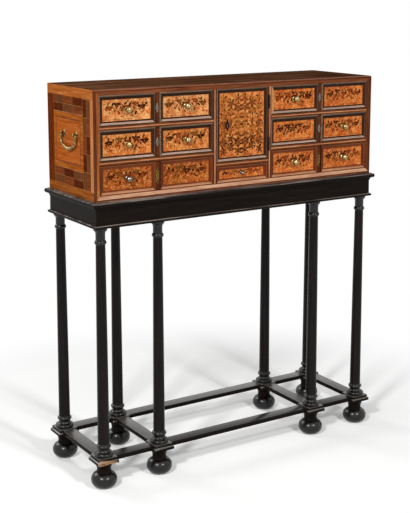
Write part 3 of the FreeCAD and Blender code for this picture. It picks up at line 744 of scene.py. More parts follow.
PALE_STRIP = {"right_top_drawer": 0}
BLACK_STRIPS = (black_x, black_z, black_sill, black_ridge)
RED_STRIPS = (red_x, red_z, red_sill, red_ridge)


def field_of(drawer):
    """How far forward the panels of a drawer lie, in metres."""
    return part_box(drawer + "_front")[0].y + MOULDING_HEIGHT * MM


def panels_of(drawer):
    """Left and right edge, foot and head of each framed panel of a drawer, in metres."""
    low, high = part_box(drawer + "_front")
    if drawer == "small_drawer":
        return [(low.x, high.x, low.z, high.z)]
    middle, half = (low.x + high.x) / 2, MUNTIN_WIDTH * MM / 2
    return [(low.x, middle - half, low.z, high.z), (middle + half, high.x, low.z, high.z)]


print("drawers:", DRAWERS)


# %% Moulded frames and their finishes
def frame_panel(piece, panel, field_y):
    """Raises one panel to the ridge of its moulding and sinks the middle back in steps."""
    x0, x1, z0, z1 = panel
    pick(piece, lambda c, n: n.y < -FACING and x0 < c.x < x1 and z0 < c.z < z1 and abs(c.y - field_y) < MM)
    pull(0, -MOULDING_HEIGHT * MM, 0)
    for width, drop in MOULDING_STEPS:
        bpy.ops.mesh.inset(thickness=width * MM, depth=-drop * MM, use_even_offset=True)


def front_rule(panels, field_y, pale_panel):
    """Finish of a face: 0 ground, 1 upper, 2 upright, 3 board, 4 pale, 5 lower strip, 6 ridge."""

    def rule(middle, normal):
        for index, (x0, x1, z0, z1) in enumerate(panels):
            aside = min(middle.x - x0, x1 - middle.x)
            above = min(middle.z - z0, z1 - middle.z)
            if aside < -MM or above < -MM or middle.y > field_y + FIELD_SLACK * MM:
                continue
            if min(aside, above) > (MOULDING_WIDTH - RIM_SLACK) * MM:
                return 0
            if index == pale_panel and middle.x - x0 < min(above, MOULDING_WIDTH * MM):
                return 4
            lower = above < aside and middle.z - z0 < z1 - middle.z
            depth = min(aside, above) / MM
            # The outer ridge of the top and left strips takes painted light: a highlight on black strips, a
            # shadow on red.
            if depth < MOULDING_STEPS[0][0]:
                on_right = aside < above and x1 - middle.x < middle.x - x0
                return 1 if lower else 2 if on_right else 6
            # The middle band of the lower strip takes a painted sheen.
            if lower and SILL_START < depth < SILL_END:
                return 5
            return 2 if aside < above else 1
        return 3

    return rule


def dress_front(face, ground, strips, panels, field_y, pale_panel=None):
    """Eases a moulded front and gives its ground, strips and board their woods."""
    ease(face, FRONT_EASE)
    # The last two strips carry painted light: sheen on the lower strip, and on the ridge a highlight for
    # black strips and a shadow for red ones.
    upper, upright, *rubbed = strips
    coat(face, ground, upper, upright, walnut_z, pale_z, *rubbed)
    sort_faces(face, front_rule(panels, field_y, pale_panel))


# %% Make the seven drawer fronts
def bare_hole(x, z, field_y):
    """The drill for a hole that a lost knob has left."""
    return start("drill", bpy.ops.mesh.primitive_cylinder_add, radius=HOLE_RADIUS * MM,
                 depth=HOLE_DEPTH * MM, vertices=20, location=(x, field_y, z), rotation=(math.pi / 2, 0, 0))


for drawer in DRAWERS:
    low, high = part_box(drawer + "_front")
    field_y = field_of(drawer)
    panels = panels_of(drawer)
    face = block(drawer + "_face", (low.x, field_y, low.z), high)
    edit(face)
    if len(panels) > 1:
        for edge in (panels[0][1], panels[1][0]):
            bpy.ops.mesh.select_all(action="SELECT")
            bpy.ops.mesh.bisect(plane_co=(edge, 0, 0), plane_no=(1, 0, 0))
        pick(face, lambda c, n: n.y < -FACING and panels[0][1] < c.x < panels[1][0])
        pull(0, -MUNTIN_HEIGHT * MM, 0)
    for panel in panels:
        frame_panel(face, panel, field_y)
    done()
    for index in BARE_PANELS.get(drawer, ()):
        x0, x1, z0, z1 = panels[index]
        cut(face, bare_hole((x0 + x1) / 2, (z0 + z1) / 2, field_y))
    low_row = "bottom" in drawer or "small" in drawer
    left_ground = red_burr if low_row else gold_burr if "top" in drawer else amber_burr
    ground = left_ground if "left" in drawer else russet_burr
    strips = RED_STRIPS if low_row else BLACK_STRIPS
    dress_front(face, ground, strips, panels, field_y, PALE_STRIP.get(drawer))
    mount(face, drawer, "marquetry", drawer + "_front")
print("drawer fronts:", len(DRAWERS))

# %% [markdown]
# Dovetails
#
# The sides of a drawer are tailed into its front. What shows on a side is the end grain of the front's pins,
# dark wedges between the pale tails. Real sockets could be cut, but nothing behind them would ever show. So
# one wedge is made from a thin block, narrowed toward the back, and copied onto the sides.

# %% Dovetail pins on the drawer sides
PIN_LENGTH, PIN_WIDE, PIN_NARROW, PIN_PROUD = 9.0, 11.0, 6.0, 0.15
PINS, LEAST_PINS = 4, 2
# End grain: short dark flecks, no shine.
end_grain = wood("end grain of the front, sawn", ("#4a2a16", "#6e4426"), "X", 4, 0.6, 0.7)
wedge = block("wedge", (-PIN_PROUD * MM, 0, -PIN_WIDE / 2 * MM),
              (PIN_PROUD * MM, PIN_LENGTH * MM, PIN_WIDE / 2 * MM))
coat(wedge, end_grain)
edit(wedge)
pick(wedge, lambda c, n: n.y > FACING)
bpy.ops.transform.resize(value=(1, 1, PIN_NARROW / PIN_WIDE), center_override=(0, 0, 0))
done()
low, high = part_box("left_top_drawer_box")
full_height = high.z - low.z
for drawer in DRAWERS:
    low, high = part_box(drawer + "_box")
    height = high.z - low.z
    number = max(LEAST_PINS, round(PINS * height / full_height))
    pins = []
    for index in range(number):
        z = low.z + height * (index + 0.5) / number
        pins += [copy_of(wedge, "pin", Matrix.Translation((x, low.y, z))) for x in (low.x, high.x)]
    mount(joined(drawer + "_pins", pins), drawer, "marquetry")
scrap(wedge)
print("dovetailed drawers:", len(DRAWERS))

# %% [markdown]
# The door
#
# The door closes a small cupboard between the two blocks of drawers. It could have a recipe of its own, but
# on the real object it is moulded as the drawers are. So it is made as a drawer front is, with one tall
# panel, and it hangs on the iron hinges of the frame.

# %% Make the door
low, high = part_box("door_panel")
door_field_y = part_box("door_moulding")[0].y + MOULDING_HEIGHT * MM
door_panel = (low.x, high.x, low.z, high.z)
door = block("door_face", (low.x, door_field_y, low.z), high)
edit(door)
frame_panel(door, door_panel, door_field_y)
done()
dress_front(door, amber_burr, BLACK_STRIPS, [door_panel], door_field_y)
mount(door, "door", "marquetry", "door_panel", "door_moulding")
print("door panel", [round(side, 3) for side in door_panel])

# %% [markdown]
# Marquetry
#
# The ornament is old stock in trade: a running stem with leaves, open flowers and scrolls, sawn from dark,
# reddish, greenish and pale veneers. It could be painted on as a pattern, but cut pieces have crisp edges
# and their own grain. Each motif is modelled once as a small flat solid of unit size, then copied along the
# stem by a rule with a little seeded variety, as one saw cut through a packet of veneers gave many like
# pieces.

# %% Inlay woods
INLAY_MM = 0.3  # real inlay lies flush; this much stands clear of the ground, so that it shows
# From dark to pale: stems and shadows, then red, green-brown and toasted leaves, then small lights.
INLAY_COLOURS = {
    "bog oak": ("#2e0f04", "#50220b"), "plum": ("#62270c", "#8a4018"), "olive wood": ("#502c0b", "#744618"),
    "toasted pear": ("#8e4b1a", "#b06a30"), "holly": ("#b27c46", "#cc9c64")}
ink, plum, olive, tan, holly = [wood(kind + " inlay, sawn", colours, "X", 5, 0.6, 0.36, EVEN)
                                for kind, colours in INLAY_COLOURS.items()]
print("inlay woods:", list(INLAY_COLOURS))


# %% Motifs of unit size, lying in the plane of the fronts
def disc(name, points):
    """A flat round solid, one unit in radius and one thick, facing forward."""
    return start(name, bpy.ops.mesh.primitive_cylinder_add, vertices=points, radius=1, depth=1,
                 rotation=(math.pi / 2, 0, 0), location=(0, -0.5, 0))


def resize_about(centre, x, y, z):
    """Scales what is selected about a point."""
    bpy.ops.transform.resize(value=(x, y, z), center_override=centre)


LEAF_WIDTH, LEAF_HOOK, LEAF_HEEL = 0.62, (0.12, 0, 0.4), 0.5
TIP_FROM, HEEL_FROM, HEEL_MIDDLE = 0.9, -0.7, -0.8  # in units of the motif, as all of this cell
leaf = disc("leaf", 10)
edit(leaf)
resize_about((0, 0, 0), LEAF_WIDTH, 1, 1)
pick(leaf, lambda c, n: c.z > TIP_FROM, "VERT")
bpy.ops.transform.translate(value=LEAF_HOOK)
pick(leaf, lambda c, n: c.z < HEEL_FROM, "VERT")
resize_about((0, 0, HEEL_MIDDLE), LEAF_HEEL, 1, 1)
done()

PETALS, PETAL_PINCH = 5, 0.55
flower = disc("flower", 20)
edit(flower)
pick(flower, lambda c, n: math.cos(PETALS * math.atan2(c.x, c.z)) < -0.5, "VERT")
resize_about((0, 0, 0), PETAL_PINCH, 1, PETAL_PINCH)
done()

SCROLL_HALF, SCROLL_START, SCROLL_TURN = 0.12, 0.02, 280
scroll = block("scroll", (1 - SCROLL_HALF, -1, -SCROLL_START), (1 + SCROLL_HALF, 0, SCROLL_START))
edit(scroll)
pick(scroll, lambda c, n: n.z > FACING)
bpy.ops.mesh.spin(steps=14, angle=math.radians(SCROLL_TURN), center=(0, 0, 0), axis=(0, 1, 0))
done()

BERRY_SLOPE = 0.7
berry = disc("berry", 8)
edit(berry)
pick(berry, lambda c, n: n.y < -FACING)
resize_about((0, 0, 0), BERRY_SLOPE, 1, BERRY_SLOPE)
done()
print("motifs:", [piece.name for piece in (leaf, flower, scroll, berry)])

# %% The running stem
STEM_STEPS, STEM_LENGTH, STEM_WAVES, STEM_SWING = 36, 150.0, 2.5, 8.5
STEM_HALF, STEM_START = 0.7, 0.5


def stem_place(share):
    """A place on the running stem, in millimetres from the middle of the panel."""
    return STEM_LENGTH * (share - 0.5), STEM_SWING * math.sin(2 * math.pi * STEM_WAVES * share)


stem_left = -STEM_LENGTH / 2 * MM
stem = block("stem", (stem_left - STEM_START * MM, -1, -STEM_HALF * MM), (stem_left, 0, STEM_HALF * MM))
edit(stem)
pick(stem, lambda c, n: n.x > FACING)
for step in range(STEM_STEPS):
    (x0, z0), (x1, z1) = stem_place(step / STEM_STEPS), stem_place((step + 1) / STEM_STEPS)
    pull((x1 - x0) * MM, 0, (z1 - z0) * MM)
done()
print("stem:", len(stem.data.polygons), "faces")


# %% Lay a motif, and a line of turf
PETAL_PROUD, BERRY_PROUD = 0.05, 0.1
TURF_HEIGHT, TURF_TAPER, TURF_GAP = 2.0, 0.4, 3.5


def lay(motif, veneer, x, z, size_mm, turn_deg, field_y):
    """One inlay at its place, turned in the plane of the panel."""
    matrix = (Matrix.Translation((x, field_y, z)) @ Matrix.Rotation(math.radians(turn_deg), 4, "Y")
              @ Matrix.Diagonal((size_mm * MM, INLAY_MM * MM, size_mm * MM, 1)))
    return coat(copy_of(motif, "inlay", matrix), veneer)


def ground_line(panel, field_y, begin, end):
    """A dark line of turf along the foot of a panel, between two shares of its width."""
    x0, x1, z0, _ = panel
    inset = (MOULDING_WIDTH + TURF_GAP) * MM
    wide = x1 - x0 - 2 * inset
    turf = block("turf", (x0 + inset + wide * begin, field_y - INLAY_MM * MM, z0 + inset),
                 (x0 + inset + wide * end, field_y, z0 + inset + TURF_HEIGHT * MM))
    edit(turf)
    pick(turf, lambda c, n: abs(n.x) > FACING)
    resize_about((0, 0, z0 + inset), 1, 1, TURF_TAPER)
    done()
    return coat(turf, ink)


# %% A garland for a drawer panel
GARLAND_WIDE, GARLAND_HIGH, GARLAND_UP = 170.0, 62.0, 5.0
LEAVES, LEAF_DRIFT, LEAF_AWAY, LEAF_SIZES, LEAF_TURN = 20, 2, (4, 9), (4.0, 6.5), 55
FLOWER_SHARES, FLOWER_DRIFT, FLOWER_SIZES, FLOWER_UP = (0.1, 0.3, 0.5, 0.7, 0.9), 0.03, (7.0, 9.5), 6
WING_UP, WING_AWAY, WING_SIZE, WING_TURNS = 9, 0.9, 0.7, (50, 110)
BLOOM_SWING, BERRY_SIZE = 0.6, 0.3
SPRIGS, SPRIG_HEIGHTS, SPRIG_SIZES, SPRIG_TURN = 60, (-27, 24), (1.8, 3.6), 90
LEAF_WOODS, FLOWER_WOODS = (ink, ink, plum, olive), (ink, plum, ink, olive)
SPRIG_WOODS = (tan, tan, olive, plum, plum, ink, holly)


def spray(chance, panel, field_y):
    """A garland of leaves and flowers across a panel, with small sprigs strewn over the ground between."""
    x0, x1, z0, z1 = panel
    run = (x1 - x0 - 2 * MOULDING_WIDTH * MM) / (GARLAND_WIDE * MM)
    rise = min(1.0, (z1 - z0 - 2 * MOULDING_WIDTH * MM) / (GARLAND_HIGH * MM))
    middle_x, middle_z = (x0 + x1) / 2, (z0 + z1) / 2 + GARLAND_UP * rise * MM
    stretch = Matrix.Diagonal((run, INLAY_MM * MM, rise, 1))
    made = [coat(copy_of(stem, "inlay", Matrix.Translation((middle_x, field_y, middle_z)) @ stretch), ink)]

    def put(motif, veneer, x, z, size, turn, proud=0.0):
        made.append(lay(motif, veneer, middle_x + run * x * MM, middle_z + rise * z * MM,
                        math.sqrt(rise) * size, turn, field_y - proud * MM))

    for step in range(LEAVES):
        x, z = stem_place((step + 0.5) / LEAVES)
        side = 1 if step % 2 else -1
        put(leaf, chance.choice(LEAF_WOODS), x + chance.uniform(-LEAF_DRIFT, LEAF_DRIFT),
            z + side * chance.uniform(*LEAF_AWAY), chance.uniform(*LEAF_SIZES),
            90 - 90 * side + chance.uniform(-LEAF_TURN, LEAF_TURN))
    for share in FLOWER_SHARES:
        x, z = stem_place(share + chance.uniform(-FLOWER_DRIFT, FLOWER_DRIFT))
        size = chance.uniform(*FLOWER_SIZES)
        veneer = chance.choice(FLOWER_WOODS)
        put(flower, veneer, x, FLOWER_UP - z * BLOOM_SWING, size, chance.uniform(0, 360 / PETALS),
            PETAL_PROUD)
        put(berry, tan, x, FLOWER_UP - z * BLOOM_SWING, size * BERRY_SIZE, 0, BERRY_PROUD)
        for side in (-1, 1):
            put(leaf, veneer, x + side * size * WING_AWAY, WING_UP - z * BLOOM_SWING, size * WING_SIZE,
                side * chance.uniform(*WING_TURNS))
    for index in range(SPRIGS):
        put(leaf, chance.choice(SPRIG_WOODS), (index / (SPRIGS - 1) - 0.5) * STEM_LENGTH,
            chance.uniform(*SPRIG_HEIGHTS), chance.uniform(*SPRIG_SIZES),
            chance.uniform(-SPRIG_TURN, SPRIG_TURN))
    return made


# %% Inlay the drawers
TURF = {"left_top_drawer": ((0.0, 0.62), (0.0, 0.5)), "right_middle_drawer": ((0.1, 1.0), (0.0, 0.9)),
        "right_top_drawer": ((0.0, 0.4), (0.5, 1.0))}
SEED = 11
chance = random.Random(SEED)
for drawer in DRAWERS:
    field_y = field_of(drawer)
    inlays = []
    for index, panel in enumerate(panels_of(drawer)):
        inlays += spray(chance, panel, field_y)
        if drawer in TURF:
            inlays.append(ground_line(panel, field_y, *TURF[drawer][index]))
    mount(joined(drawer + "_inlay", inlays), drawer, "marquetry")
print("inlaid drawers:", len(DRAWERS))

# %% All-over pattern on the door
DOOR_COLUMNS, DOOR_ROWS, DOOR_STEP = (14.0, 43.0, 72.0), 7, 29.0
SPOKES, SPOKE_AWAY, SPOKE_SIZES, SPOKE_TURN = 6, (8.5, 11), (5, 7), 25
SCROLL_SIZE, DOOR_FLOWER_SIZE, DOOR_BERRY_SIZE = 12.5, 6.0, 1.9
MIDDLE_FROM, HIGH_FROM = 2, 5  # rows, counted from the foot
LOW_WOODS, MIDDLE_WOODS, HIGH_WOODS = (plum, ink, olive), (plum, tan, olive, tan), (tan, olive, plum)
x0, x1, z0, z1 = door_panel
middle_x, middle_z = (x0 + x1) / 2, (z0 + z1) / 2
inlays = []


def pair(motif, veneer, x, z, size, turn, proud=0.0):
    """The same inlay on both halves of the door, one the mirror of the other."""
    for side in (-1, 1):
        inlays.append(lay(motif, veneer, middle_x + side * x * MM, middle_z + z * MM, size, side * turn,
                          door_field_y - proud * MM))


for column, x in enumerate(DOOR_COLUMNS):
    offset = 0.5 * (column % 2)
    for row in range(DOOR_ROWS - column % 2):
        z = (row + offset - (DOOR_ROWS - 1) / 2) * DOOR_STEP
        woods = LOW_WOODS if row < MIDDLE_FROM else MIDDLE_WOODS if row < HIGH_FROM else HIGH_WOODS
        first = chance.uniform(0, 360 / SPOKES)
        for spoke in range(SPOKES):
            turn = first + 360 / SPOKES * spoke
            away = chance.uniform(*SPOKE_AWAY)
            pair(leaf, chance.choice(woods), x + away * math.sin(math.radians(turn)),
                 z + away * math.cos(math.radians(turn)), chance.uniform(*SPOKE_SIZES),
                 turn + chance.uniform(-SPOKE_TURN, SPOKE_TURN))
        if (row + column) % 2:
            pair(scroll, chance.choice(woods), x, z, SCROLL_SIZE, first, PETAL_PROUD)
        pair(flower, chance.choice(woods), x, z, DOOR_FLOWER_SIZE, first, PETAL_PROUD)
        pair(berry, tan, x, z, DOOR_BERRY_SIZE, 0, BERRY_PROUD)
inlays.append(ground_line(door_panel, door_field_y, 0.0, 1.0))
print("door inlays:", len(inlays))
mount(joined("door_inlay", inlays), "door", "marquetry")
scrap(leaf, flower, scroll, berry, stem)

# %% [markdown]
# Knobs, plates and locks
#
# Knobs are small brass balls, turned in one piece with stem and rose, so they are spun as the columns are
# and copied. Keyhole plates are sawn from sheet. They could be drawn as outlines and thickened, but a thin
# disc whose rim is pinched between its lobes gives all three kinds, with the keyhole cut through. Some knobs
# are lost, one of the large ones is a silvered stand-in, and the plates of the lowest wide drawers are
# longer and gilt. The lock cases show only with a drawer or the door open.

# %% Turn a knob
KNOB_REACH, KNOB_RADIUS, STEM_RADIUS, ROSE_RADIUS = 25.0, 10.5, 3.5, 7.5
ball_foot = KNOB_REACH - KNOB_RADIUS - math.sqrt(KNOB_RADIUS ** 2 - STEM_RADIUS ** 2)
knob_outline = [
    (0, 0), (ROSE_RADIUS, 0), (ROSE_RADIUS, 0.8), (ROSE_RADIUS - 0.8, 1.5), (STEM_RADIUS + 0.9, 2.0),
    (STEM_RADIUS, 3.2), (STEM_RADIUS, ball_foot),
    *arc((STEM_RADIUS, ball_foot), (KNOB_RADIUS, KNOB_REACH - KNOB_RADIUS), (0, KNOB_REACH), 14)]
knob = turned("knob", knob_outline, 24)
print("knob:", len(knob.data.polygons), "faces")

# %% Saw the keyhole plates
PLATE_THICK, PLATE_EASE = 1.2, 0.3
KEYHOLE_RADIUS, SLOT_HALF, SLOT_FOOT, SLOT_HEAD, CUT_REACH = 2.4, 1.1, -7.0, -1.0, 3.0
PLATE_NAIL_RADIUS, PLATE_NAIL_SHARE, NAIL_FLATNESS = 1.1, 0.74, 0.3
GILT_PIERCINGS = (-15.5, 8.5, 15.5)


def nail_head(radius_mm):
    """A flattened head that faces along Y, at the origin."""
    nail = start("nail", bpy.ops.mesh.primitive_uv_sphere_add, segments=10, ring_count=6,
                 radius=radius_mm * MM)
    edit(nail)
    resize_about((0, 0, 0), 1, NAIL_FLATNESS, 1)
    done()
    return nail


def plate(name, half_wide, half_high, lobes, pinch, piercings=()):
    """A sawn plate facing forward at the origin, pinched between its lobes, with a keyhole and piercings."""
    piece = disc(name, 48)
    edit(piece)
    pick(piece, lambda c, n: math.cos(lobes * math.atan2(c.x, c.z)) < -0.2, "VERT")
    resize_about((0, 0, 0), pinch, 1, pinch)
    bpy.ops.mesh.select_all(action="SELECT")
    resize_about((0, 0, 0), half_wide * MM, PLATE_THICK * MM, half_high * MM)
    done()
    holes = [start("hole", bpy.ops.mesh.primitive_cylinder_add, vertices=16, radius=KEYHOLE_RADIUS * MM,
                   depth=2 * CUT_REACH * MM, rotation=(math.pi / 2, 0, 0), location=(0, 0, up * MM))
             for up in (0, *piercings)]
    slot = block("slot", (-SLOT_HALF * MM, -CUT_REACH * MM, SLOT_FOOT * MM),
                 (SLOT_HALF * MM, CUT_REACH * MM, SLOT_HEAD * MM))
    cut(piece, *holes, slot)
    ease(piece, PLATE_EASE)
    nail = nail_head(PLATE_NAIL_RADIUS)
    nails = [copy_of(nail, "nail", Matrix.Translation((0, -PLATE_THICK * MM, share * half_high * MM)))
             for share in (-PLATE_NAIL_SHARE, PLATE_NAIL_SHARE)]
    scrap(nail)
    return joined(name, [piece, *nails])


iron_plate = coat(plate("iron_plate", half_wide=5.4, half_high=14.5, lobes=4, pinch=0.78), iron)
gilt_plate = coat(plate("gilt_plate", half_wide=7.8, half_high=27, lobes=8, pinch=0.62,
                        piercings=GILT_PIERCINGS), gilt)
door_plate = coat(plate("door_plate", half_wide=8.5, half_high=20, lobes=4, pinch=0.76), black_iron)
print("plates:", [piece.name for piece in (iron_plate, gilt_plate, door_plate)])

# %% Set the fittings on the drawers
FORWARD = Matrix.Rotation(math.pi / 2, 4, "X")
SMALL_KNOB = 0.6
LOCK_SIZE, LOCK_EASE = (46.0, 9.0, 36.0), 0.8
SILVERED_DRAWER = "left_bottom_drawer"


def set_knob(name, x, z, field_y, finish, size=1.0):
    """A knob turned to face forward."""
    matrix = Matrix.Translation((x, field_y, z)) @ FORWARD @ Matrix.Scale(size, 4)
    return coat(copy_of(knob, name, matrix), finish)


def lock_case(name, x, z, back_y):
    """The iron case of a lock, on the inside of a front."""
    wide, deep, high = (side * MM for side in LOCK_SIZE)
    case = block(name, (x - wide / 2, back_y, z - high / 2), (x + wide / 2, back_y + deep, z + high / 2))
    ease(case, LOCK_EASE)
    return coat(case, iron)


for drawer in WIDE_DRAWERS:
    low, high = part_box(drawer + "_front")
    field_y = field_of(drawer)
    knob_metal = silvered if drawer == SILVERED_DRAWER else brass
    pieces = [set_knob("knob", (x0 + x1) / 2, (z0 + z1) / 2, field_y, knob_metal)
              for index, (x0, x1, z0, z1) in enumerate(panels_of(drawer))
              if index not in BARE_PANELS.get(drawer, ())]
    middle_x, middle_z = (low.x + high.x) / 2, (low.z + high.z) / 2
    pattern = gilt_plate if "bottom" in drawer else iron_plate
    place = Matrix.Translation((middle_x, field_y - MUNTIN_HEIGHT * MM, middle_z))
    pieces.append(copy_of(pattern, "plate", place))
    pieces.append(lock_case("lock", middle_x, middle_z, high.y))
    mount(joined(drawer + "_brasses", pieces), drawer, "brass", drawer + "_fittings")
low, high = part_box("small_drawer_front")
small = set_knob("small_drawer_knob", (low.x + high.x) / 2, (low.z + high.z) / 2, field_of("small_drawer"),
                 silvered, SMALL_KNOB)
mount(small, "small_drawer", "iron", "small_drawer_fittings")
print("drawers with fittings:", len(DRAWERS))

# %% Set the plate and lock on the door
low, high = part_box("door_lock")
lock_x, lock_z = (low.x + high.x) / 2, (low.z + high.z) / 2
lock = [copy_of(door_plate, "plate", Matrix.Translation((lock_x, door_field_y, lock_z))),
        lock_case("lock", lock_x, lock_z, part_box("door_panel")[1].y)]
mount(joined("door_lock_and_plate", lock), "door", "iron", "door_lock")
scrap(knob, iron_plate, gilt_plate, door_plate)
print("door lock at", round(lock_x, 3), round(lock_z, 3))

# %% [markdown]
# Bail handles
#
# Each end has a cast bail that hangs from two eyed posts. A curve with a round section could give the bar,
# but one ring of points shows each step as a smith would take it: it is extruded along the straight
# stretches and spun round the bends, then swelled in the middle of the grip.

# %% Sizes of the handles
low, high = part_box("right_bail")
BAIL_RADIUS = (high.x - low.x) / 2 / MM
ARM_REACH = high.y / MM - BAIL_RADIUS
DROP = (high.z - low.z) / MM - 2 * BAIL_RADIUS
end_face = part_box("case_top")[1].x
STAND_OFF = (low.x + high.x) / 2 / MM - end_face / MM
ELBOW, ARM, CORNER = 6.0, 12.0, 20.0
SWELL, SWELL_CORE, SWELL_REACH = 1.6, 8.0, 40.0
BAIL_WELD = 0.01
ENDS = (("left", -1), ("right", 1))
low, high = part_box("right_handle_posts")
ROSETTE_RADIUS = (high.z - low.z) / 2 / MM
POST_SPREAD = high.y / MM - ROSETTE_RADIUS
ROSETTE_OUTLINE = [
    (0, 0), (ROSETTE_RADIUS, 0), (ROSETTE_RADIUS, 0.9), (ROSETTE_RADIUS - 1.2, 1.8),
    (ROSETTE_RADIUS - 3.4, 1.5), (6.4, 2.2), (4.6, 2.8), (3.8, 3.6), (0, 3.6)]
EYE_RADIUS, EYE_LENGTH, PIN_PLAY = 7.0, 6.0, 1.0
PIN_START = POST_SPREAD - EYE_LENGTH / 2 - PIN_PLAY
corner_y, corner_z = ARM_REACH - CORNER, -ELBOW - ARM
rest = DROP + corner_z - CORNER
lever = (corner_y ** 2 + rest ** 2) / (2 * rest)
grip_radius = lever + CORNER
bend = math.acos(corner_y / lever)
print("bail: bar radius", round(BAIL_RADIUS, 2), "grip radius", round(grip_radius, 1), "mm")


# %% Bail and posts
def bail(name, pivot):
    """The bar of a handle, from one pin round the grip to the other."""
    x, _, z = pivot
    piece = start(name, bpy.ops.mesh.primitive_circle_add, vertices=16, radius=BAIL_RADIUS * MM,
                  fill_type="NGON", rotation=(math.pi / 2, 0, 0), location=(x, PIN_START * MM, z))
    edit(piece)

    def turn(angle, y, up, steps):
        bpy.ops.mesh.spin(steps=steps, angle=angle, center=(x, y * MM, z + up * MM), axis=(1, 0, 0))

    pull(0, (ARM_REACH - ELBOW - PIN_START) * MM, 0)
    turn(math.pi / 2, ARM_REACH - ELBOW, -ELBOW, 6)
    pull(0, 0, -ARM * MM)
    turn(bend, corner_y, corner_z, 6)
    turn(math.pi - 2 * bend, 0, grip_radius - DROP, 16)
    turn(bend, -corner_y, corner_z, 6)
    pull(0, 0, ARM * MM)
    turn(math.pi / 2, -(ARM_REACH - ELBOW), -ELBOW, 6)
    pull(0, (ARM_REACH - ELBOW - PIN_START) * MM, 0)
    bpy.ops.mesh.select_all(action="SELECT")
    bpy.ops.mesh.remove_doubles(threshold=BAIL_WELD * MM)
    bpy.ops.mesh.normals_make_consistent(inside=False)
    pick(piece, lambda c, n: abs(c.y) < SWELL_CORE * MM, "VERT")
    bpy.ops.transform.resize(value=(SWELL, 1, SWELL), center_override=(x, 0, z - DROP * MM),
                             use_proportional_edit=True, proportional_edit_falloff="SMOOTH",
                             proportional_size=SWELL_REACH * MM)
    done()
    smooth(piece, angle_deg=50)
    return coat(piece, old_brass)


def post(name, face_x, way, y, z):
    """A turned rosette and stem on the end of the case, with the ring that holds the bail's pin."""
    rose = turned(name, ROSETTE_OUTLINE, 32)
    rose.data.transform(Matrix.Translation((face_x, y, z)) @ Matrix.Rotation(way * math.pi / 2, 4, "Y"))
    ring = start("eye", bpy.ops.mesh.primitive_torus_add, major_segments=28, minor_segments=10,
                 major_radius=(EYE_RADIUS + BAIL_RADIUS) / 2 * MM,
                 minor_radius=(EYE_RADIUS - BAIL_RADIUS) / 2 * MM,
                 rotation=(math.pi / 2, 0, 0), location=(face_x + way * STAND_OFF * MM, y, z))
    edit(ring)
    resize_about((0, y, 0), 1, EYE_LENGTH / (EYE_RADIUS - BAIL_RADIUS), 1)
    done()
    smooth(ring, angle_deg=60)
    return coat(joined(name, [rose, ring]), old_brass)


# %% Make both handles
for side, way in ENDS:
    low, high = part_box(side + "_bail")
    face_x = way * end_face
    pivot = (face_x + way * STAND_OFF * MM, 0, high.z - BAIL_RADIUS * MM)
    mount(bail(side + "_bail_bar", pivot), side + "_handle", "brass", side + "_bail")
    posts = [post("post", face_x, way, end * POST_SPREAD * MM, pivot[2]) for end in (-1, 1)]
    mount(joined(side + "_posts", posts), "cabinet", "brass", side + "_handle_posts")
    print(side, "handle pivot", [round(value, 4) for value in pivot])

# %% [markdown]
# Veneers of the case
#
# The ends carry a wide border, bands of bricks in two courses with light lines between them, and a framed
# field. A pattern in one finish could draw this, but veneers are thin pieces glued over the boards, each
# with its own grain. So they are thin slips with eased edges, which leaves fine joints between them. The top
# is three dark boards, and the back is of plain nailed planks.

# %% Veneer woods
# Borders and field of the ends: orange-brown, each strip paler or darker in its own way.
BORDERS = (
    ("grain across", "Y", ("#8a4015", "#b2642c", "#cc8247")),
    ("grain upright", "Z", ("#7c3a12", "#a3571f", "#c07636")),
    ("dark along the foot", "Y", ("#6a2e0e", "#94501f", "#b06c34")),
    # The front strip is painted paler: a painted highlight of the rounded front edge.
    ("bleached along the front", "Z", ("#9a5228", "#c27a48", "#d69664")),
    ("dark along the back", "Z", ("#461806", "#68290c", "#84421a")),
    ("round the field", "Y", ("#7c3a12", "#a6581f", "#c27838")))
border_y, border_z, border_foot, border_front, border_back, surround_wood = [
    wood("walnut border veneer, polished, " + kind, colours, grain, 7, 0.8, 0.33, specular=0.0)
    for kind, grain, colours in BORDERS]
field_wood = wood("cherry field veneer, polished", ("#863c14", "#b25b24", "#cc7c40"), "Y", 10, 0.8, 0.31,
                  specular=0.0)
# Bricks: three browns that change from one to the next.
BRICK_WOODS = [
    wood(kind + " bricks, polished", colours, grain, 6, 0.8, 0.34, specular=0.0)
    for kind, colours, grain in (("bog oak", ("#42190a", "#662e16"), "Y"),
                                 ("walnut", ("#622d14", "#8a4a28"), "Y"),
                                 ("fumed oak", ("#56301a", "#7c4c2c"), "Z"))]
# Strings: fine lines, light between the bricks and dark round the field.
string_wood = wood("boxwood stringing, scraped flush", ("#86502a", "#a97444"), "Y", 6, 0.6, 0.4)
dark_string = wood("bog oak stringing, scraped flush", ("#2c1006", "#4a2010"), "Y", 6, 0.6, 0.4)
print("finishes so far:", len(FINISHES))

# %% Lay the veneers of one end
VENEER, VENEER_EASE, FIELD_PROUD = 0.8, 0.25, 0.05
FRONT_BORDER, FRONT_BAND, BACK_BORDER = 19.0, 51.0, 44.0
HEAD_BORDER, FOOT_BORDER, LYING_BAND = 31.0, 29.0, 54.0
BRICK, STRING, FIELD_RIM = 62.0, 1.3, 17.0


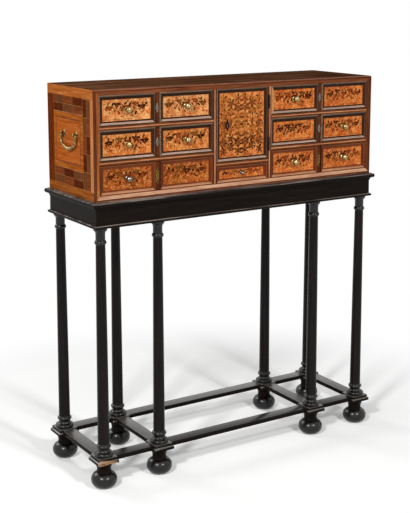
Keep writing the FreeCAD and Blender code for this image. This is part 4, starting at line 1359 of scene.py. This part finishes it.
def end_veneers(way):
    """Slips on the outside of one end: borders, bands of bricks in two courses, and a framed field."""
    face = way * end_face
    low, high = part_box("case_left_side")
    gap = STRING * MM
    pieces = []

    def slip(y0, y1, z0, z1, veneer, proud=VENEER):
        near, far = sorted((face, face + way * proud * MM))
        piece = block("slip", (near, y0, z0), (far, y1, z1))
        ease(piece, VENEER_EASE, 1)
        pieces.append(coat(piece, veneer))

    def ring(y0, y1, z0, z1, wide, veneer, proud):
        """Four strips round a rectangle."""
        slip(y0, y1, z0, z0 + wide, veneer, proud)
        slip(y0, y1, z1 - wide, z1, veneer, proud)
        slip(y0, y0 + wide, z0 + wide, z1 - wide, veneer, proud)
        slip(y1 - wide, y1, z0 + wide, z1 - wide, veneer, proud)

    def course(y0, y1, z0, z1, first):
        """One row of bricks along the longer side of a rectangle, with a light line between neighbours."""
        along_y = y1 - y0 > z1 - z0
        length = max(y1 - y0, z1 - z0)
        count = round(length / (BRICK * MM))
        for index in range(count):
            begin, end = length * index / count + gap / 2, length * (index + 1) / count - gap / 2
            veneer = BRICK_WOODS[(index + first) % len(BRICK_WOODS)]
            if along_y:
                slip(y0 + begin, y0 + end, z0, z1, veneer)
            else:
                slip(y0, y1, z0 + begin, z0 + end, veneer)

    band_y0, band_y1 = low.y + FRONT_BORDER * MM, high.y - BACK_BORDER * MM
    band_z0, band_z1 = low.z + FOOT_BORDER * MM, high.z - HEAD_BORDER * MM
    slip(low.y, high.y, low.z, band_z0, border_foot)
    slip(low.y, high.y, band_z1, high.z, border_y)
    slip(low.y, band_y0, band_z0, band_z1, border_front)
    slip(band_y1, high.y, band_z0, band_z1, border_back)
    slip(band_y0, band_y1, band_z0, band_z1, string_wood, VENEER / 2)
    half = (FRONT_BAND * MM - 3 * gap) / 2
    for number in (0, 1):
        near = band_y0 + gap + number * (half + gap)
        course(near, near + half, band_z0 + gap, band_z1 - gap, 1 + number)
    inner_y0, inner_y1 = band_y0 + FRONT_BAND * MM, band_y1 - gap
    half = (LYING_BAND * MM - 3 * gap) / 2
    for foot, first in ((band_z0 + gap, 0), (band_z1 - LYING_BAND * MM + 2 * gap, 1)):
        for number in (0, 1):
            under = foot + number * (half + gap)
            course(inner_y0, inner_y1, under, under + half, first + 2 * number)
    inner_z0, inner_z1 = band_z0 + LYING_BAND * MM, band_z1 - LYING_BAND * MM
    slip(inner_y0, inner_y1, inner_z0, inner_z1, surround_wood)
    rim = FIELD_RIM * MM
    ring(inner_y0 + rim, inner_y1 - rim, inner_z0 + rim, inner_z1 - rim, 2 * gap, dark_string,
         VENEER + FIELD_PROUD)
    rim += 2 * gap
    slip(inner_y0 + rim, inner_y1 - rim, inner_z0 + rim, inner_z1 - rim, field_wood, VENEER + FIELD_PROUD)
    return pieces


for side, way in ENDS:
    slips = end_veneers(way)
    print(side, "end:", len(slips), "slips")
    mount(joined(side + "_end_veneers", slips), "cabinet", "walnut")

# %% Top boards
TOP_BOARDS, TOP_EASE = 3, 0.3
low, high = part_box("case_top")
step = (high.y - low.y) / TOP_BOARDS
boards = []
for index in range(TOP_BOARDS):
    board = block("top_board", (low.x, low.y + index * step, high.z),
                  (high.x, low.y + (index + 1) * step, high.z + VENEER * MM))
    ease(board, TOP_EASE)
    boards.append(coat(board, top_wood))
mount(joined("top_boards", boards), "cabinet", "walnut")
print("top boards:", TOP_BOARDS)

# %% Back planks and their nails
BACK_PLANKS, PLANK_GAP, PLANK_EASE = 3, 1.2, 1.5
NAIL_RADIUS, NAIL_INSET, NAIL_SHARES = 3.2, 9.0, (0.22, 0.78)
low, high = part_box("case_back")
step = (high.z - low.z) / BACK_PLANKS
planks = []
for index in range(BACK_PLANKS):
    plank = block("back_plank", (low.x, low.y, low.z + index * step + PLANK_GAP / 2 * MM),
                  (high.x, high.y, low.z + (index + 1) * step - PLANK_GAP / 2 * MM))
    ease(plank, PLANK_EASE)
    planks.append(coat(plank, back_pine))
nail = coat(nail_head(NAIL_RADIUS), black_iron)
partition_x = (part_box("partition_right")[0].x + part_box("partition_right")[1].x) / 2
for x in (low.x + NAIL_INSET * MM, -partition_x, partition_x, high.x - NAIL_INSET * MM):
    for index in range(BACK_PLANKS):
        for share in NAIL_SHARES:
            place = Matrix.Translation((x, high.y, low.z + (index + share) * step))
            planks.append(copy_of(nail, "nail", place))
scrap(nail)
print("back planks:", BACK_PLANKS, "nails:", len(planks) - BACK_PLANKS)
mount(joined("back_planks", planks), "cabinet", "drawer_lining", "case_back")

# %% [markdown]
# Edge moulding and beads
#
# The front edges of the case have a mitred moulding that slopes inward. Four strips could be cut and fitted,
# but a block whose face is inset in steps has its mitres at once; the middle is then taken out and the walls
# bridged. The rails and partitions between the drawers carry a small round bead along their middle, which
# catches the light as a thin line, so it is a real rounded strip.

# %% Edge moulding
EDGE_STEPS = ((4.4, 0.0), (0.9, 1.2), (0.9, 0.0), (10.8, 2.8))
EDGE_EASE = 0.5
groove_end = sum(width for width, _ in EDGE_STEPS[:3])
edge_low, edge_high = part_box("front_edge_moulding")
edge = block("edge_frame", edge_low, edge_high)
edit(edge)
pick(edge, lambda c, n: n.y > FACING)
bpy.ops.mesh.inset(thickness=sum(width for width, _ in EDGE_STEPS) * MM)
bpy.ops.mesh.delete(type="FACE")
pick(edge, lambda c, n: n.y < -FACING)
for width, drop in EDGE_STEPS:
    bpy.ops.mesh.inset(thickness=width * MM, depth=-drop * MM)
bpy.ops.mesh.delete(type="FACE")
bpy.ops.mesh.select_all(action="DESELECT")
bpy.ops.mesh.select_mode(type="EDGE")
bpy.ops.mesh.select_non_manifold()
bpy.ops.mesh.bridge_edge_loops()
close_up()
ease(edge, EDGE_EASE)
coat(edge, edge_x, walnut_z, edge_sill, groove, edge_z)


def edge_rule(middle, normal):
    """Outer flat, then a dark groove, then a slope that is painted pale along the foot, where it looks up.
    """
    foot, head = middle.z - edge_low.z, edge_high.z - middle.z
    aside = min(middle.x - edge_low.x, edge_high.x - middle.x)
    depth = min(aside, foot, head) / MM
    upright = aside < min(foot, head)
    if depth < EDGE_STEPS[0][0]:
        return 1 if upright else 0
    if depth < groove_end:
        return 3
    if upright:
        return 4 if middle.x < 0 else 1
    return 2 if foot < head else 0


sort_faces(edge, edge_rule)
mount(edge, "cabinet", "walnut", "front_edge_moulding")
print("edge frame:", len(edge.data.polygons), "faces")

# %% Beads on the rails and partitions
BEAD_WIDE, BEAD_PROUD, BEAD_ROUND = 4.0, 1.6, 1.4
# Beads: a pale line on the walnut, a painted highlight.
bead_x, bead_z = [wood("walnut bead, rubbed, grain " + way, ("#8a4c2c", "#b87850", "#daa67c"), grain, 9, 0.8,
                       0.32, specular=0.1) for way, grain in (("across", "X"), ("upright", "Z"))]


def bead(low, high):
    """A round bead along the middle of the front edge of a rail or partition, given by its corners."""
    middle = (low + high) / 2
    half = BEAD_WIDE * MM / 2
    near = low.y - BEAD_PROUD * MM
    upright = high.z - low.z > high.x - low.x
    if upright:
        piece = block("bead", (middle.x - half, near, low.z), (middle.x + half, low.y, high.z))
    else:
        piece = block("bead", (low.x, near, middle.z - half), (high.x, low.y, middle.z + half))

    def long_front_edge(place, way):
        along = abs(way.z if upright else way.x)
        return place.y < near + TOUCH * MM and along > 0.5 * max(map(abs, way))

    edit(piece)
    pick(piece, long_front_edge, "EDGE")
    bpy.ops.mesh.bevel(offset=BEAD_ROUND * MM, segments=4)
    done()
    smooth(piece)
    return coat(piece, bead_z if upright else bead_x)


beads = [bead(*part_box(node)) for node in ("partition_left", "partition_right", "door_rail")]
rail_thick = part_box("door_rail")[1].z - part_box("door_rail")[0].z
for side in SIDES:
    low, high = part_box("dust_boards_" + side)
    for foot in (low.z, high.z - rail_thick):
        beads.append(bead(Vector((low.x, low.y, foot)), Vector((high.x, high.y, foot + rail_thick))))
print("beads:", len(beads))
mount(joined("rail_beads", beads), "cabinet", "walnut")

# %% [markdown]
# Frame nodes that show as they are
#
# Boards inside the case, drawer boxes and hinge leaves are plain on such a cabinet too. They could be
# modelled again, but their solids already have the right shape. So they keep them and only get a finish.

# %% Finish the plain boards
PLAIN = {"case_bottom": walnut_x, "case_top": top_wood, "case_left_side": border_z,
         "case_right_side": border_z, "partition_left": walnut_z, "partition_right": walnut_z,
         "dust_boards_left": walnut_x, "dust_boards_right": walnut_x, "door_rail": walnut_x,
         "case_hinge_leaves": black_iron, "door_hinge_leaves": black_iron}
PLAIN.update({name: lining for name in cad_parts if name.endswith("_box")})
for name, finish in PLAIN.items():
    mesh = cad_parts[name].data
    mesh.materials.clear()
    mesh.materials.append(finish)
print("plain boards:", len(PLAIN))

# %% [markdown]
# Floor, light and camera
#
# The view is from the front left, a little above the top. One strong lamp would show the form but drown the
# woods in shadow, so three soft boxes and an even sky give the plain light of a studio. Sky and floor are
# white to the eye and to reflections and dimmer as lamps, so that colours stay as they are written; the
# floor keeps the shadow of the object and fades to white further off.


# %% Floor
def seen_directly(tree):
    """1 for rays from the eye, and for what is seen in a reflection or through glass; 0 for light."""
    rays = add(tree, "ShaderNodeLightPath").outputs
    seen = rays["Is Camera Ray"]
    for kind in ("Is Glossy Ray", "Is Transmission Ray"):
        seen = add(tree, "ShaderNodeMath", {0: seen, 1: rays[kind]}, operation="MAXIMUM").outputs[0]
    return seen


WHITE = (1, 1, 1, 1)
FLOOR_SIZE, FADE_START, FADE_END = 80.0, 0.62, 1.5  # metres
FLOOR_GLOW = 0.17
floor = start("studio_floor", bpy.ops.mesh.primitive_plane_add, size=FLOOR_SIZE)
# Painted floor: white without shine, with only the shadow to see.
paint, tree, shader = new_finish("floor paint, rolled matt white", Roughness=0.9, Specular_IOR_Level=0.1)
shader.inputs["Base Color"].default_value = linear("#fcfcfb")
shader.inputs["Emission Color"].default_value = WHITE
seen = seen_directly(tree)
glow = add(tree, "ShaderNodeMath", {0: seen, 1: FLOOR_GLOW}, operation="MULTIPLY").outputs[0]
tree.links.new(glow, shader.inputs["Emission Strength"])
place = add(tree, "ShaderNodeTexCoord").outputs["Object"]
far = add(tree, "ShaderNodeVectorMath", {0: place}, operation="LENGTH").outputs["Value"]
fade = add(tree, "ShaderNodeMapRange", {"Value": far, "From Min": FADE_START, "From Max": FADE_END},
           interpolation_type="SMOOTHSTEP").outputs["Result"]
fade = add(tree, "ShaderNodeMath", {0: fade, 1: seen}, operation="MULTIPLY").outputs[0]
white = add(tree, "ShaderNodeEmission", {"Color": WHITE, "Strength": 1.0}).outputs["Emission"]
mixed = add(tree, "ShaderNodeMixShader", {0: fade, 1: shader.outputs["BSDF"], 2: white}).outputs["Shader"]
tree.links.new(mixed, tree.nodes["Material Output"].inputs["Surface"])
coat(floor, paint)
floor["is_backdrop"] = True
print("floor fades from", FADE_START, "to", FADE_END, "m")

# %% Sky and lamps
SKY_LIGHT, SKY_SEEN = 0.22, 1.0
AIM_HEIGHT = 0.8  # metres
# Name, degrees from straight in front, distance, height and size in metres, and watts.
LAMPS = (("right softbox", 4, 4.0, 3.4, 0.5, 98), ("left softbox", -56, 4.0, 3.3, 0.5, 122),
         ("back softbox", -155, 4.0, 3.0, 1.6, 50))
sky = bpy.data.worlds.new("studio sky")
bpy.context.scene.world = sky
sky.use_nodes = True
tree = sky.node_tree
tree.nodes.clear()
strength = add(tree, "ShaderNodeMapRange", {"Value": seen_directly(tree), "To Min": SKY_LIGHT,
                                            "To Max": SKY_SEEN})
light = add(tree, "ShaderNodeBackground", {"Color": WHITE, "Strength": strength.outputs["Result"]})
add(tree, "ShaderNodeOutputWorld", {"Surface": light.outputs["Background"]})
for name, aside_deg, distance, height, size, watts in LAMPS:
    data = bpy.data.lights.new(name, "AREA")
    data.size, data.energy = size, watts
    lamp = bpy.data.objects.new(name, data)
    turn = math.radians(aside_deg)
    lamp.location = (distance * math.sin(turn), -distance * math.cos(turn), height)
    lamp.rotation_euler = (Vector((0, 0, AIM_HEIGHT)) - lamp.location).to_track_quat("-Z", "Y").to_euler()
    bpy.context.scene.collection.objects.link(lamp)
print("lamps:", len(LAMPS))

# %% Camera
PHOTO_LONG_SIDE = 513
FOCAL_PIXELS, AXIS_ABOVE_MIDDLE_PIXELS = 1122.0, 75
CAMERA_PLACE = (-2.0925, -3.2119, 1.5874)  # metres
CAMERA_YAW, CAMERA_PITCH = 0.5677, 0.1688  # radians
view = bpy.data.cameras.new("studio camera")
view.lens = FOCAL_PIXELS / PHOTO_LONG_SIDE * view.sensor_width
view.shift_y = -AXIS_ABOVE_MIDDLE_PIXELS / PHOTO_LONG_SIDE
camera = bpy.data.objects.new("studio camera", view)
camera.location = CAMERA_PLACE
level = math.cos(CAMERA_PITCH)
look = Vector((math.sin(CAMERA_YAW) * level, math.cos(CAMERA_YAW) * level, -math.sin(CAMERA_PITCH)))
camera.rotation_euler = look.to_track_quat("-Z", "Y").to_euler()
bpy.context.scene.collection.objects.link(camera)
bpy.context.scene.camera = camera
bpy.context.scene.view_settings.view_transform = "Standard"
print("lens:", round(view.lens, 1), "mm")

# %% Sizes and finish
size = {"cad": [list(corner) for corner in cad_box], "visual": [list(corner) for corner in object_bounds()]}
